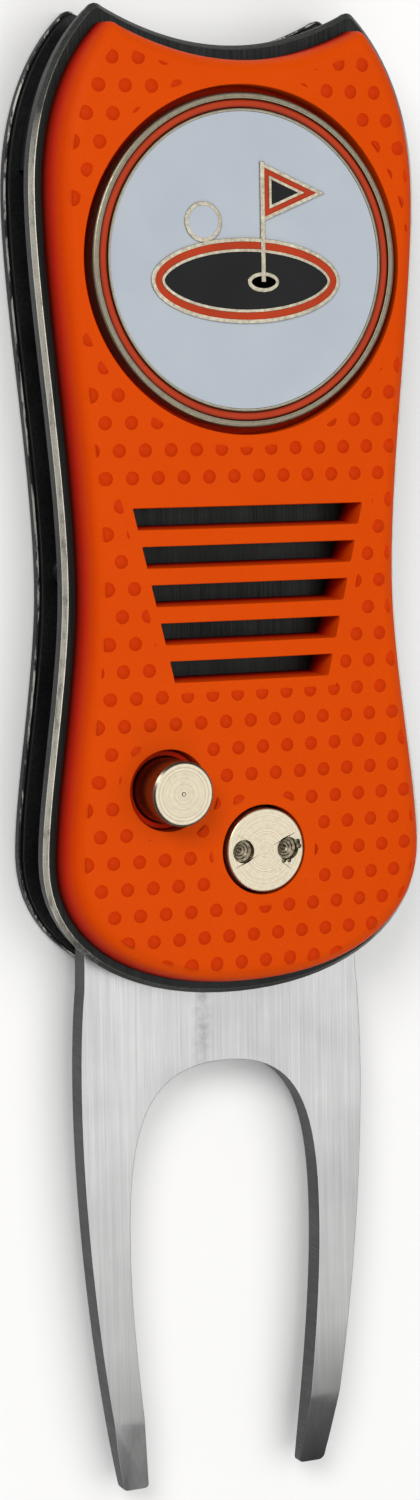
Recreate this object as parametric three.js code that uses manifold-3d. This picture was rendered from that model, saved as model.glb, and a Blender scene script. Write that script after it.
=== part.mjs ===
// A folding divot repair tool with a press-button lock and a lift-off ball marker.
// It lies on its back: X is the width, +Y points to the horned end, Z is the thickness. Millimetres.
import * as THREE from "three";
import { mergeVertices } from "three/addons/utils/BufferGeometryUtils.js";
import Module from "manifold-3d";

const wasm = await Module();
wasm.setup();

// Handle outline, taken at the edge of the metal plates.
const bulgeHalfWidth = 16.07;
const waistHalfWidth = 14.02;
const bottomY = -17.78;
const bulgeY = -6.8;
const waistY = 14.22;
const shoulderY = 43.42;
const hornX = 10.5;
const hornY = 57.7;
const notchY = 54.72;

// Layers from the back of the tool to the front.
const rearFrameThickness = 1.1;
const rearLinerThickness = 0.55;
const washerThickness = 0.5;
const forkThickness = 2.0;
const frontLinerThickness = 1.1;
const frontFrameThickness = 0.75;
const shellThickness = 3.4;
const rearFrameTop = rearFrameThickness;
const gapBottom = rearFrameTop + rearLinerThickness;
const forkBottom = gapBottom + washerThickness;
const forkTop = forkBottom + forkThickness;
const gapTop = forkTop + washerThickness;
const frontLinerTop = gapTop + frontLinerThickness;
const frontFrameTop = frontLinerTop + frontFrameThickness;
const shellTop = frontFrameTop + shellThickness;

// Pivot.
const pivotX = 0.69;
const pivotY = -6.27;
const barrelRadius = 2.5;
const barrelHeadRadius = 4.0;
const barrelHeadThickness = 0.8;
const pivotHeadRadius = 3.23;
const pivotHeadProud = 0.3;
const pivotThreadRadius = 1.5;
const spannerHoleRadius = 0.9;
const spannerHoleSpacing = 3.75;
const spannerHoleDepth = 0.9;
const pivotShellHoleRadius = 3.46;
const washerRadius = 6.8;
const springWindowRadius = 6.0;

// Lock button.
const buttonX = -7.11;
const buttonY = -1.26;
const buttonTop = shellTop + 2.59;
const buttonHeadRadius = 2.48;
const buttonHeadBottom = 8.15;
const buttonNeckRadius = 1.0;
const buttonCollarRadius = 2.2;
const buttonCollarHeight = 1.4;
const buttonShellHoleRadius = 3.11;
const bushInnerRadius = 2.58;
const bushOuterRadius = 3.0;
const bushHeight = 2.3;

// Ball marker and the recess it sits in.
const markerY = 38.42;
const markerRadius = 12.5;
const markerThickness = 1.8;
const enamelDepth = 0.45;
const enamelRingOuter = 12.0;
const enamelRingInner = 11.3;
const enamelFieldRadius = 11.08;
const recessRadius = 13.03;
const recessDepth = 1.9;
const magnetRadius = 4.0;

// Five drafted slots in the shell.
const slotCount = 5;
const slotTopY = 20.06;
const slotPitch = 2.89;
const slotHeight = 1.64;
const slotHalfWidth = 9.6;
const slotTaper = 0.239;
const slotDraft = 0.3;

// Fork.
const forkCentreX = -0.4;
const forkHubRadius = 6.85;
const forkShoulderY = pivotY - 1.25;
const forkTipY = -57.487;
const archY = -23.57;
const tipBevelStartY = -51.6;
const tipThickness = 1.0;
const foldedReach = 52.6;
const collarPathReach = 16;

// Fasteners and spacers.
const fit = 0.05;
// Shell levels: height, inset at the sides and inset at the horns.
const shellLevels = [
  [frontFrameTop, 0.9, 1.2],
  [shellTop - 1.3, 1.3, 1.35],
  [shellTop - 0.6, 1.62, 1.7],
  [shellTop, 2.4, 2.4],
];
const spacerStartY = 45.4;
const stopPinRadius = 1.2;
const stopPinX = pivotX - 11.3;
const pillarRadius = 1.2;
const smallScrewRadius = 0.8;
const smallHeadRadius = 1.5;
const smallHeadThickness = 0.7;
const shellScrewLength = 2.6;
const shellScrewPlaces = [
  ["shell_screw_upper_left", -7.5, 23.0],
  ["shell_screw_upper_right", 7.5, 23.0],
  ["shell_screw_lower_right", 8.6, 1.2],
  ["shell_screw_lower_left", -7.4, -11.6],
];
const topScrewPlaces = [
  ["top_screw_left", -9.4, 50.6],
  ["top_screw_right", 9.4, 50.6],
];
const pillarPlaces = [
  ["lower", -12.0, 15.2],
  ["upper", -12.8, 31.0],
];

const colours = {
  orangePolymer: { color: 0xd24b00, roughness: 0.55, metalness: 0.0 },
  blackSteel: { color: 0x1a1b1c, roughness: 0.42, metalness: 0.8 },
  linerSteel: { color: 0x4a4c4d, roughness: 0.4, metalness: 0.9 },
  forkSteel: { color: 0xc8c8c8, roughness: 0.32, metalness: 1.0 },
  turnedSteel: { color: 0xd8d0b8, roughness: 0.3, metalness: 1.0 },
  springSteel: { color: 0x8c8f93, roughness: 0.35, metalness: 1.0 },
  bronze: { color: 0xa88548, roughness: 0.4, metalness: 0.9 },
  nickel: { color: 0x9a9480, roughness: 0.35, metalness: 1.0 },
  whiteEnamel: { color: 0xdfe6ec, roughness: 0.12, metalness: 0.0 },
  orangeEnamel: { color: 0xc4400c, roughness: 0.12, metalness: 0.0 },
};

const tool = new THREE.Group();

// Adds one named piece to the tool.
function addPiece(name, geometry, finish) {
  const material = new THREE.MeshStandardMaterial(colours[finish]);
  const mesh = new THREE.Mesh(geometry, material);
  mesh.name = name;
  tool.add(mesh);
  return mesh;
}

// Turns a closed three.js geometry into a solid for cutting and joining.
function toSolid(geometry) {
  const bare = geometry.clone();
  bare.deleteAttribute("normal");
  bare.deleteAttribute("uv");
  const merged = mergeVertices(bare, 1e-4);
  const data = new wasm.Mesh({
    numProp: 3,
    vertProperties: new Float32Array(merged.attributes.position.array),
    triVerts: new Uint32Array(merged.index.array),
  });
  return new wasm.Manifold(data);
}

// Turns a solid back into a three.js geometry.
function toGeometry(solid) {
  const data = solid.getMesh();
  const geometry = new THREE.BufferGeometry();
  geometry.setAttribute("position", new THREE.BufferAttribute(data.vertProperties, 3));
  geometry.setIndex(new THREE.BufferAttribute(data.triVerts, 1));
  geometry.computeVertexNormals();
  return geometry;
}

// An upright round bar.
function bar(radius, bottom, top, x = 0, y = 0, sides = 32) {
  const geometry = new THREE.CylinderGeometry(radius, radius, top - bottom, sides);
  geometry.rotateX(Math.PI / 2);
  geometry.translate(x, y, (bottom + top) / 2);
  return toSolid(geometry);
}

// A shape turned about a vertical axis, from [radius, height] pairs.
function turned(pairs, x = 0, y = 0, sides = 40) {
  const profile = pairs.map(([radius, height]) => new THREE.Vector2(radius, height));
  const geometry = new THREE.LatheGeometry(profile, sides);
  geometry.rotateX(Math.PI / 2);
  geometry.translate(x, y, 0);
  return toSolid(geometry);
}

// An upright slab with the given plan.
function slab(shape, bottom, top, curveSegments = 10) {
  const options = { depth: top - bottom, bevelEnabled: false, curveSegments };
  const geometry = new THREE.ExtrudeGeometry(shape, options);
  geometry.translate(0, 0, bottom);
  return toSolid(geometry);
}

function box(x0, x1, y0, y1, z0, z1) {
  const geometry = new THREE.BoxGeometry(x1 - x0, y1 - y0, z1 - z0);
  geometry.translate((x0 + x1) / 2, (y0 + y1) / 2, (z0 + z1) / 2);
  return toSolid(geometry);
}

// A solid skinned over loops of equal length, each loop at its own height.
function skin(levels) {
  const count = levels[0].loop.length;
  const points = levels.flatMap(({ loop, z }) => loop.map((p) => [p.x, p.y, z]));
  const faces = [];
  const caps = [
    { level: levels[0], start: 0, up: false },
    { level: levels.at(-1), start: (levels.length - 1) * count, up: true },
  ];
  for (const { level, start, up } of caps) {
    for (const [a, b, c] of THREE.ShapeUtils.triangulateShape(level.loop, [])) {
      faces.push(...(up ? [start + a, start + b, start + c] : [start + c, start + b, start + a]));
    }
  }
  for (let ring = 0; ring < levels.length - 1; ring++) {
    for (let i = 0; i < count; i++) {
      const a = ring * count + i;
      const b = ring * count + ((i + 1) % count);
      faces.push(a, b, b + count, a, b + count, a + count);
    }
  }
  const geometry = new THREE.BufferGeometry();
  geometry.setAttribute("position", new THREE.Float32BufferAttribute(points.flat(), 3));
  geometry.setIndex(faces);
  return toSolid(geometry);
}

// One side of the handle's outline as Bezier curves, drawn inset from the plates' edge.
function halfOutline(inset, hornInset, side) {
  const bulge = side * (bulgeHalfWidth - inset);
  const waist = side * (waistHalfWidth - inset);
  const tipX = hornX - 0.2 * hornInset;
  const tipY = hornY - 1.2 * hornInset;
  const foot = bottomY + inset;
  const curves = [
    [[0, foot], [side * (9.4 - 0.5 * inset), foot], [bulge, bulgeY - 6.8 + 0.6 * inset], [bulge, bulgeY]],
    [[bulge, bulgeY], [bulge, bulgeY + 4.9], [waist, waistY - 6.8], [waist, waistY]],
    [[waist, waistY], [waist, waistY + 9.2], [bulge, shoulderY - 8], [bulge, shoulderY]],
    [
      [bulge, shoulderY],
      [bulge, shoulderY + 5.2 - 0.28 * inset],
      [side * (14.6 - 0.93 * inset), 53.8 - 0.81 * hornInset],
      [side * (tipX + 0.45), tipY - 0.4],
    ],
  ];
  const ordered = side > 0 ? curves : curves.reverse().map((curve) => curve.reverse());
  return { ordered, tipX, tipY };
}

// Plan of the handle, going anticlockwise from the middle of its bottom edge.
function handleShape(inset, hornInset) {
  const shape = new THREE.Shape();
  const right = halfOutline(inset, hornInset, 1);
  const left = halfOutline(inset, hornInset, -1);
  const dip = 2 * (notchY - hornInset) - (right.tipY - 0.45);
  shape.moveTo(0, bottomY + inset);
  for (const [, first, second, end] of right.ordered) {
    shape.bezierCurveTo(...first, ...second, ...end);
  }
  shape.quadraticCurveTo(right.tipX, right.tipY, right.tipX - 0.6, right.tipY - 0.45);
  shape.quadraticCurveTo(0, dip, 0.6 - right.tipX, right.tipY - 0.45);
  shape.quadraticCurveTo(-right.tipX, right.tipY, -right.tipX - 0.45, right.tipY - 0.4);
  for (const [, first, second, end] of left.ordered) {
    shape.bezierCurveTo(...first, ...second, ...end);
  }
  return shape;
}

// The handle's plan as a loop of points, without a doubled end point.
function handleLoop(inset, hornInset) {
  const loop = handleShape(inset, hornInset).getPoints(8);
  if (loop[0].distanceTo(loop.at(-1)) < 1e-6) loop.pop();
  return loop;
}

function handleLevel(inset, z, hornInset = inset) {
  return { loop: handleLoop(inset, hornInset), z };
}

// Rear cover plate with its back edge eased and counterbores for the barrel and screw heads.
function rearFrame() {
  let plate = skin([handleLevel(0.35, 0), handleLevel(0, 0.35), handleLevel(0, rearFrameTop)]);
  plate = plate.subtract(bar(barrelHeadRadius + fit, -1, barrelHeadThickness, pivotX, pivotY));
  plate = plate.subtract(bar(barrelRadius + fit, -1, gapBottom, pivotX, pivotY));
  for (const [, x, y] of [...topScrewPlaces, ...pillarPlaces]) {
    plate = plate.subtract(bar(smallHeadRadius + fit, -1, smallHeadThickness, x, y, 20));
    plate = plate.subtract(bar(smallScrewRadius + fit, -1, gapBottom, x, y, 20));
  }
  return toGeometry(plate);
}

function rearLiner() {
  let plate = skin([handleLevel(0.25, rearFrameTop), handleLevel(0.25, gapBottom)]);
  plate = plate.subtract(bar(barrelRadius + fit, 0, forkBottom, pivotX, pivotY));
  plate = plate.subtract(bar(stopPinRadius + fit, 0, forkBottom, stopPinX, pivotY, 20));
  for (const [, x, y] of [...topScrewPlaces, ...pillarPlaces]) {
    plate = plate.subtract(bar(smallScrewRadius + fit, 0, forkBottom, x, y, 20));
  }
  return toGeometry(plate);
}

// Front liner, with the window that houses the opening spring and its outer leg.
function frontLiner() {
  let plate = skin([handleLevel(0.2, gapTop), handleLevel(0.2, frontLinerTop)]);
  plate = plate.subtract(bar(springWindowRadius, forkTop, frontFrameTop, pivotX, pivotY));
  const legSlot = box(pivotX + 3, pivotX + 8.4, pivotY - 0.6, pivotY + 0.6, forkTop, frontFrameTop);
  plate = plate.subtract(legSlot);
  plate = plate.subtract(bar(buttonNeckRadius + 0.25, forkTop, frontFrameTop, buttonX, buttonY, 20));
  plate = plate.subtract(bar(stopPinRadius + fit, forkTop, frontFrameTop, stopPinX, pivotY, 20));
  for (const [, x, y] of shellScrewPlaces) {
    plate = plate.subtract(bar(smallHeadRadius + fit, forkTop, gapTop + smallHeadThickness, x, y, 20));
    plate = plate.subtract(bar(smallScrewRadius + fit, forkTop, frontFrameTop, x, y, 20));
  }
  for (const [, x, y] of [...topScrewPlaces, ...pillarPlaces]) {
    plate = plate.subtract(bar(smallScrewRadius + fit, forkTop, frontFrameTop, x, y, 20));
  }
  return toGeometry(plate);
}

// Front frame plate with the bright bevel that runs round the shell.
function frontFrame() {
  let plate = skin([
    handleLevel(0, frontLinerTop),
    handleLevel(0, frontFrameTop - 0.4),
    handleLevel(0.35, frontFrameTop),
  ]);
  plate = plate.subtract(bar(barrelRadius + fit, gapTop, shellTop, pivotX, pivotY));
  plate = plate.subtract(bar(bushInnerRadius, gapTop, shellTop, buttonX, buttonY));
  for (const [, x, y] of shellScrewPlaces) {
    plate = plate.subtract(bar(smallScrewRadius + fit, gapTop, shellTop, x, y, 20));
  }
  return toGeometry(plate);
}

// One drafted slot, wider at the shell's face than at its floor.
function slotCutter(index) {
  const top = slotTopY - index * slotPitch;
  const levels = [frontFrameTop - 0.5, shellTop + 0.5].map((z) => {
    const spread = (slotDraft * (z - shellTop)) / shellThickness;
    const halfWidthAt = (y) => slotHalfWidth - slotTaper * (slotTopY - y) + spread;
    const low = top - slotHeight - spread;
    const high = top + spread * 0.5;
    const loop = [
      new THREE.Vector2(-halfWidthAt(low), low),
      new THREE.Vector2(halfWidthAt(low), low),
      new THREE.Vector2(halfWidthAt(high), high),
      new THREE.Vector2(-halfWidthAt(high), high),
    ];
    return { loop, z };
  });
  return skin(levels);
}

// Moulded front shell with the marker recess, slots and fastener holes.
function frontShell() {
  let shell = skin(shellLevels.map(([z, inset, hornInset]) => handleLevel(inset, z, hornInset)));
  shell = shell.subtract(bar(recessRadius, shellTop - recessDepth, shellTop + 1, 0, markerY, 48));
  shell = shell.subtract(bar(magnetRadius + fit, gapTop, shellTop, 0, markerY));
  shell = shell.subtract(bar(pivotShellHoleRadius, gapTop, shellTop + 1, pivotX, pivotY));
  shell = shell.subtract(bar(buttonShellHoleRadius, gapTop, shellTop + 1, buttonX, buttonY));
  for (let index = 0; index < slotCount; index++) {
    shell = shell.subtract(slotCutter(index));
  }
  for (const [, x, y] of shellScrewPlaces) {
    const tip = gapTop + smallHeadThickness + shellScrewLength;
    shell = shell.subtract(bar(smallScrewRadius + fit, gapTop, tip, x, y, 20));
  }
  return toGeometry(shell);
}

// Block between the plates under the horns, clear of the folded fork's tips.
function topSpacer() {
  let block = skin([handleLevel(0.9, gapBottom), handleLevel(0.9, gapTop)]);
  block = block.intersect(box(-bulgeHalfWidth, bulgeHalfWidth, spacerStartY, hornY, gapBottom, gapTop));
  block = block.subtract(bar(foldedReach, gapBottom - 1, gapTop + 1, pivotX, pivotY, 180));
  for (const [, x, y] of topScrewPlaces) {
    block = block.subtract(bar(smallScrewRadius + fit, 0, shellTop, x, y, 20));
  }
  return toGeometry(block);
}

// Plan of the fork: one side from the shoulder down the outer edge, round the tip and up to the arch.
function forkShape() {
  const shape = new THREE.Shape();
  const at = (side, x) => forkCentreX + side * x;
  const tip = forkTipY;
  shape.moveTo(at(1, 11.7), -17.0);
  shape.lineTo(at(1, 11.5), forkShoulderY - 1);
  shape.quadraticCurveTo(at(1, 11.5), forkShoulderY, at(1, 10.5), forkShoulderY);
  shape.lineTo(at(-1, 10.5), forkShoulderY);
  shape.quadraticCurveTo(at(-1, 11.5), forkShoulderY, at(-1, 11.5), forkShoulderY - 1);
  shape.lineTo(at(-1, 11.7), -17.0);
  shape.bezierCurveTo(at(-1, 12.9), -28, at(-1, 11.2), -46, at(-1, 8.9), tip + 0.4);
  shape.quadraticCurveTo(at(-1, 8.75), tip, at(-1, 8.3), tip);
  shape.lineTo(at(-1, 7.1), tip);
  shape.quadraticCurveTo(at(-1, 6.6), tip, at(-1, 6.65), tip + 0.4);
  shape.bezierCurveTo(at(-1, 7.3), -51.5, at(-1, 8.2), -44, at(-1, 8.2), -37.6);
  shape.bezierCurveTo(at(-1, 8.2), -28, at(-1, 6.6), archY, at(-1, 0), archY);
  shape.bezierCurveTo(at(1, 6.6), archY, at(1, 8.2), -28, at(1, 8.2), -37.6);
  shape.bezierCurveTo(at(1, 8.2), -44, at(1, 7.3), -51.5, at(1, 6.65), tip + 0.4);
  shape.quadraticCurveTo(at(1, 6.6), tip, at(1, 7.1), tip);
  shape.lineTo(at(1, 8.3), tip);
  shape.quadraticCurveTo(at(1, 8.75), tip, at(1, 8.9), tip + 0.4);
  shape.bezierCurveTo(at(1, 11.2), -46, at(1, 12.9), -28, at(1, 11.7), -17.0);
  return shape;
}

// The way the lock collar takes past the fork as it folds: an arc about the pivot with a rounded end.
function collarPath() {
  const reachX = buttonX - pivotX;
  const reachY = buttonY - pivotY;
  const reach = Math.hypot(reachX, reachY);
  const openAngle = Math.atan2(reachY, reachX);
  const inner = forkHubRadius;
  const path = new THREE.Shape();
  path.absarc(pivotX, pivotY, collarPathReach, openAngle - Math.PI, openAngle + 0.7, false);
  path.absarc(pivotX, pivotY, inner, openAngle + 0.7, openAngle - Math.PI, true);
  const swept = slab(path, forkBottom - 1, forkTop + 1, 24);
  const end = bar(reach - inner, forkBottom - 1, forkTop + 1, pivotX - reachX, pivotY - reachY);
  return swept.add(end);
}

function fork() {
  let blade = slab(forkShape(), forkBottom, forkTop, 9);
  blade = blade.subtract(collarPath());
  blade = blade.add(bar(forkHubRadius, forkBottom, forkTop, pivotX, pivotY, 40));
  blade = blade.subtract(bar(barrelRadius + fit, forkBottom - 1, forkTop + 1, pivotX, pivotY));
  // The prongs thin towards their tips along a slanted plane.
  const slant = Math.atan((forkThickness - tipThickness) / (tipBevelStartY - forkTipY));
  const wedge = new THREE.BoxGeometry(40, 12, 4);
  wedge.translate(0, -6, 2);
  wedge.rotateX(slant);
  wedge.translate(0, tipBevelStartY, forkTop);
  return toGeometry(blade.subtract(toSolid(wedge)));
}

function washer(bottom) {
  return toGeometry(
    bar(washerRadius, bottom, bottom + washerThickness, pivotX, pivotY).subtract(
      bar(barrelRadius + fit, bottom - 1, bottom + 2, pivotX, pivotY),
    ),
  );
}

// Barrel nut that the fork turns on, headed at the back and tapped from the front.
function pivotBarrel() {
  const top = frontFrameTop - 0.1;
  return toGeometry(
    turned(
      [
        [0, 0],
        [barrelHeadRadius, 0],
        [barrelHeadRadius, barrelHeadThickness],
        [barrelRadius, barrelHeadThickness],
        [barrelRadius, top],
        [pivotThreadRadius, top],
        [pivotThreadRadius, 2.2],
        [0, 2.2],
      ],
      pivotX,
      pivotY,
      32,
    ),
  );
}

// Spanner-head pivot screw.
function pivotScrew() {
  const top = shellTop + pivotHeadProud;
  const shank = pivotThreadRadius - fit;
  let screw = turned(
    [
      [0, 2.4],
      [shank, 2.4],
      [shank, frontFrameTop],
      [pivotHeadRadius, frontFrameTop],
      [pivotHeadRadius, top - 0.12],
      [pivotHeadRadius - 0.12, top],
      [0, top],
    ],
    pivotX,
    pivotY,
    40,
  );
  for (const side of [-1, 1]) {
    const x = pivotX + (side * spannerHoleSpacing) / 2;
    screw = screw.subtract(bar(spannerHoleRadius, top - spannerHoleDepth, top + 1, x, pivotY, 20));
  }
  return toGeometry(screw);
}

// Flat spiral spring in the front liner's window, with an outer leg in the liner's slot.
function openingSpring() {
  const turns = 1.75;
  const innerRadius = 3.0;
  const growth = 1.15;
  const width = 0.5;
  const steps = 56;
  const total = turns * 2 * Math.PI;
  const edge = (offset) =>
    Array.from({ length: steps + 1 }, (_, step) => {
      const angle = (total * step) / steps;
      const radius = innerRadius + (growth * angle) / (2 * Math.PI) + offset;
      const turn = angle - total;
      return new THREE.Vector2(pivotX + radius * Math.cos(turn), pivotY + radius * Math.sin(turn));
    });
  const loop = [...edge(width), ...edge(0).reverse()];
  const bottom = gapTop + 0.2;
  const top = frontLinerTop - 0.2;
  const coil = skin([{ loop, z: bottom }, { loop, z: top }]);
  const legStart = pivotX + innerRadius + growth * turns;
  return toGeometry(coil.add(box(legStart, pivotX + 8.2, pivotY - 0.25, pivotY + 0.25, bottom, top)));
}

// Lock button: a head in the shell, a neck through the liner and a lock collar beside the fork's hub.
function releaseButton() {
  const collarBottom = gapTop - buttonCollarHeight - fit;
  const collarTop = gapTop - fit;
  return toGeometry(
    turned(
      [
        [0, collarBottom],
        [buttonCollarRadius, collarBottom],
        [buttonCollarRadius, collarTop],
        [buttonNeckRadius, collarTop],
        [buttonNeckRadius, buttonHeadBottom],
        [buttonHeadRadius, buttonHeadBottom],
        [buttonHeadRadius, buttonTop - 0.25],
        [buttonHeadRadius - 0.25, buttonTop],
        [0, buttonTop],
      ],
      buttonX,
      buttonY,
      32,
    ),
  );
}

// Guide bush that stands on the front frame round the button.
function buttonBush() {
  const top = frontFrameTop + bushHeight;
  return toGeometry(
    bar(bushOuterRadius, frontFrameTop, top, buttonX, buttonY).subtract(
      bar(bushInnerRadius, frontFrameTop - 1, top + 1, buttonX, buttonY),
    ),
  );
}

class Helix extends THREE.Curve {
  constructor(radius, bottom, top, turns, x, y) {
    super();
    Object.assign(this, { radius, bottom, top, turns, x, y });
  }

  getPoint(t, target = new THREE.Vector3()) {
    const angle = t * this.turns * 2 * Math.PI;
    const height = this.bottom + (this.top - this.bottom) * t;
    return target.set(
      this.x + this.radius * Math.cos(angle),
      this.y + this.radius * Math.sin(angle),
      height,
    );
  }
}

// Coil spring round the button's neck, between the liner and the button's head.
function buttonSpring() {
  const wire = 0.2;
  const bottom = frontLinerTop + wire + fit;
  const top = buttonHeadBottom - wire - fit;
  const turns = 3.5;
  const helix = new Helix(1.8, bottom, top, turns, buttonX, buttonY);
  const section = new THREE.Shape();
  section.absarc(0, 0, wire, 0, 2 * Math.PI, false);
  const options = { steps: 49, extrudePath: helix, bevelEnabled: false, curveSegments: 3 };
  return toGeometry(toSolid(new THREE.ExtrudeGeometry(section, options)));
}

// Ball marker: a nickel coin with two shallow enamel wells.
function markerCoin() {
  const base = shellTop - recessDepth;
  const top = base + markerThickness;
  const floor = top - enamelDepth;
  return toGeometry(
    turned(
      [
        [0, base],
        [markerRadius - 0.2, base],
        [markerRadius, base + 0.2],
        [markerRadius, top - 0.12],
        [markerRadius - 0.12, top],
        [enamelRingOuter, top],
        [enamelRingOuter, floor],
        [enamelRingInner, floor],
        [enamelRingInner, top - 0.05],
        [enamelFieldRadius, top - 0.05],
        [enamelFieldRadius, floor],
        [0, floor],
      ],
      0,
      markerY,
      48,
    ),
  );
}

function enamelRing() {
  const floor = shellTop - recessDepth + markerThickness - enamelDepth;
  return toGeometry(
    bar(enamelRingOuter - 0.02, floor, floor + 0.36, 0, markerY, 48).subtract(
      bar(enamelRingInner + 0.02, floor - 1, floor + 1, 0, markerY, 48),
    ),
  );
}

function enamelField() {
  const floor = shellTop - recessDepth + markerThickness - enamelDepth;
  return toGeometry(bar(enamelFieldRadius - 0.03, floor, floor + 0.37, 0, markerY, 48));
}

// Round magnet flush with the floor of the marker's recess.
function magnet() {
  return toGeometry(bar(magnetRadius, frontFrameTop, shellTop - recessDepth, 0, markerY));
}

// Pin across both liners that the fork's shoulder rests on when open.
function stopPin() {
  return toGeometry(bar(stopPinRadius, rearFrameTop, frontLinerTop, stopPinX, pivotY, 20));
}

// A small capped screw: its head at the given height, its shank rising from it.
function smallScrew(x, y, headBottom, length) {
  const headTop = headBottom + smallHeadThickness - fit;
  const start = headBottom;
  const socketDepth = 0.35;
  const socket = new THREE.CylinderGeometry(0.65, 0.65, socketDepth * 2, 6);
  socket.rotateX(Math.PI / 2);
  socket.translate(x, y, start);
  const body = turned(
    [
      [0, start],
      [smallHeadRadius, start],
      [smallHeadRadius, headTop],
      [smallScrewRadius, headTop],
      [smallScrewRadius, headTop + length],
      [0, headTop + length],
    ],
    x,
    y,
    20,
  );
  return toGeometry(body.subtract(toSolid(socket)));
}

addPiece("rear_frame", rearFrame(), "blackSteel");
addPiece("rear_liner", rearLiner(), "linerSteel");
addPiece("front_liner", frontLiner(), "linerSteel");
addPiece("front_frame", frontFrame(), "blackSteel");
addPiece("front_shell", frontShell(), "orangePolymer");
addPiece("top_spacer", topSpacer(), "blackSteel");
addPiece("fork", fork(), "forkSteel");
addPiece("rear_washer", washer(gapBottom), "bronze");
addPiece("front_washer", washer(forkTop), "bronze");
addPiece("pivot_barrel", pivotBarrel(), "turnedSteel");
addPiece("pivot_screw", pivotScrew(), "turnedSteel");
addPiece("opening_spring", openingSpring(), "springSteel");
addPiece("release_button", releaseButton(), "turnedSteel");
addPiece("button_bush", buttonBush(), "blackSteel");
addPiece("button_spring", buttonSpring(), "springSteel");
addPiece("marker_coin", markerCoin(), "nickel");
addPiece("marker_enamel_ring", enamelRing(), "orangeEnamel");
addPiece("marker_enamel_field", enamelField(), "whiteEnamel");
addPiece("marker_magnet", magnet(), "nickel");
addPiece("stop_pin", stopPin(), "turnedSteel");
for (const [name, x, y] of shellScrewPlaces) {
  addPiece(name, smallScrew(x, y, gapTop, shellScrewLength), "blackSteel");
}
for (const [name, x, y] of topScrewPlaces) {
  addPiece(name, smallScrew(x, y, 0, frontLinerTop - smallHeadThickness), "blackSteel");
}
for (const [level, x, y] of pillarPlaces) {
  const pillar = bar(pillarRadius, gapBottom, gapTop, x, y, 24);
  const bore = bar(smallScrewRadius + fit, 0, shellTop, x, y, 20);
  addPiece("side_pillar_" + level, toGeometry(pillar.subtract(bore)), "blackSteel");
  addPiece("pillar_screw_" + level, smallScrew(x, y, 0, frontLinerTop - smallHeadThickness), "blackSteel");
}

export default tool;
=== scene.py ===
import math

import bpy
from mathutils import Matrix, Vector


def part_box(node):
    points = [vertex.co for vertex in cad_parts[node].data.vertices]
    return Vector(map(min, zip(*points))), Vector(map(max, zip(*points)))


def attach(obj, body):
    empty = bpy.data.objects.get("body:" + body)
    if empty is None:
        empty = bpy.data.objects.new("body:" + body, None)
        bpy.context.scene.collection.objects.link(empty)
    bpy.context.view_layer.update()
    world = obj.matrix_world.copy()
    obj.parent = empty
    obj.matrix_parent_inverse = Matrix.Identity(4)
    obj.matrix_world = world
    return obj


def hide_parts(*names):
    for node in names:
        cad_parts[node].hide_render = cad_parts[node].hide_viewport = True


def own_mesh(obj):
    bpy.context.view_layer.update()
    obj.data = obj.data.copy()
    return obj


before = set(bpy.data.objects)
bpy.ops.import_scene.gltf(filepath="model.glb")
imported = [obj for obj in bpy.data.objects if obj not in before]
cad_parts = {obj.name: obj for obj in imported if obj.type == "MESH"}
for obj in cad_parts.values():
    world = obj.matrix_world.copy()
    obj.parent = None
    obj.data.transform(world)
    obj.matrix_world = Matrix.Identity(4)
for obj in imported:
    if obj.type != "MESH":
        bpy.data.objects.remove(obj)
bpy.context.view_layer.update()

# Pieces are drawn in millimetres and brought down to metres as they are finished.
mm = 0.001


def nodeSpan(node):
    low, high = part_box(node)
    return [round(value / mm, 3) for value in low], [round(value / mm, 3) for value in high]


def nodeCentre(node):
    low, high = nodeSpan(node)
    return (low[0] + high[0]) / 2, (low[1] + high[1]) / 2


# Heights of the layers and centres of the round pieces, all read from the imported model.
rearFrameTop = nodeSpan("rear_frame")[1][2]
gapBottom = nodeSpan("rear_liner")[1][2]
gapTop = nodeSpan("front_liner")[0][2]
frontLinerTop = nodeSpan("front_liner")[1][2]
frontFrameTop = nodeSpan("front_frame")[1][2]
shellTop = nodeSpan("front_shell")[1][2]
forkBottom = nodeSpan("fork")[0][2]
forkTop = nodeSpan("fork")[1][2]
buttonTop = nodeSpan("release_button")[1][2]
coinBottom = nodeSpan("marker_coin")[0][2]
coinTop = nodeSpan("marker_coin")[1][2]
pivotCentre = nodeCentre("pivot_barrel")
buttonCentre = nodeCentre("release_button")
markerCentre = nodeCentre("marker_coin")
stopPinCentre = nodeCentre("stop_pin")
shellScrews = ["shell_screw_" + corner for corner in ("upper_left", "upper_right", "lower_right",
    "lower_left")]
topScrews = ["top_screw_left", "top_screw_right"]
pillarScrews = ["pillar_screw_lower", "pillar_screw_upper"]

# camera, floor and light

view = {
    "place": (-0.10317, 0.02645, 0.22932),
    "turnDegrees": (-5.4555, -24.4677, -1.0158),
    "lens": 51.11,
    "sensor": 24.0,
    "nearest": 0.01,
}
bpy.ops.object.select_all(action="DESELECT")
viewTurn = [math.radians(angle) for angle in view["turnDegrees"]]
bpy.ops.object.camera_add(location=view["place"], rotation=viewTurn)
camera = bpy.context.object
camera.data.lens = view["lens"]
camera.data.sensor_width = view["sensor"]
camera.data.clip_start = view["nearest"]
bpy.context.scene.camera = camera

studio = {
    "surround": 0.22,
    # name: place, size, power, colour
    "overhead": ((0.12, 0.02, 0.62), 0.9, 2.75, (1.0, 0.99, 0.975)),
    "leftKey": ((-0.34, 0.30, 0.46), 0.30, 1.8, (1.0, 0.99, 0.98)),
    "lowFill": ((0.05, -0.55, 0.40), 0.35, 0.6, (0.97, 0.985, 1.0)),
}


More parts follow.
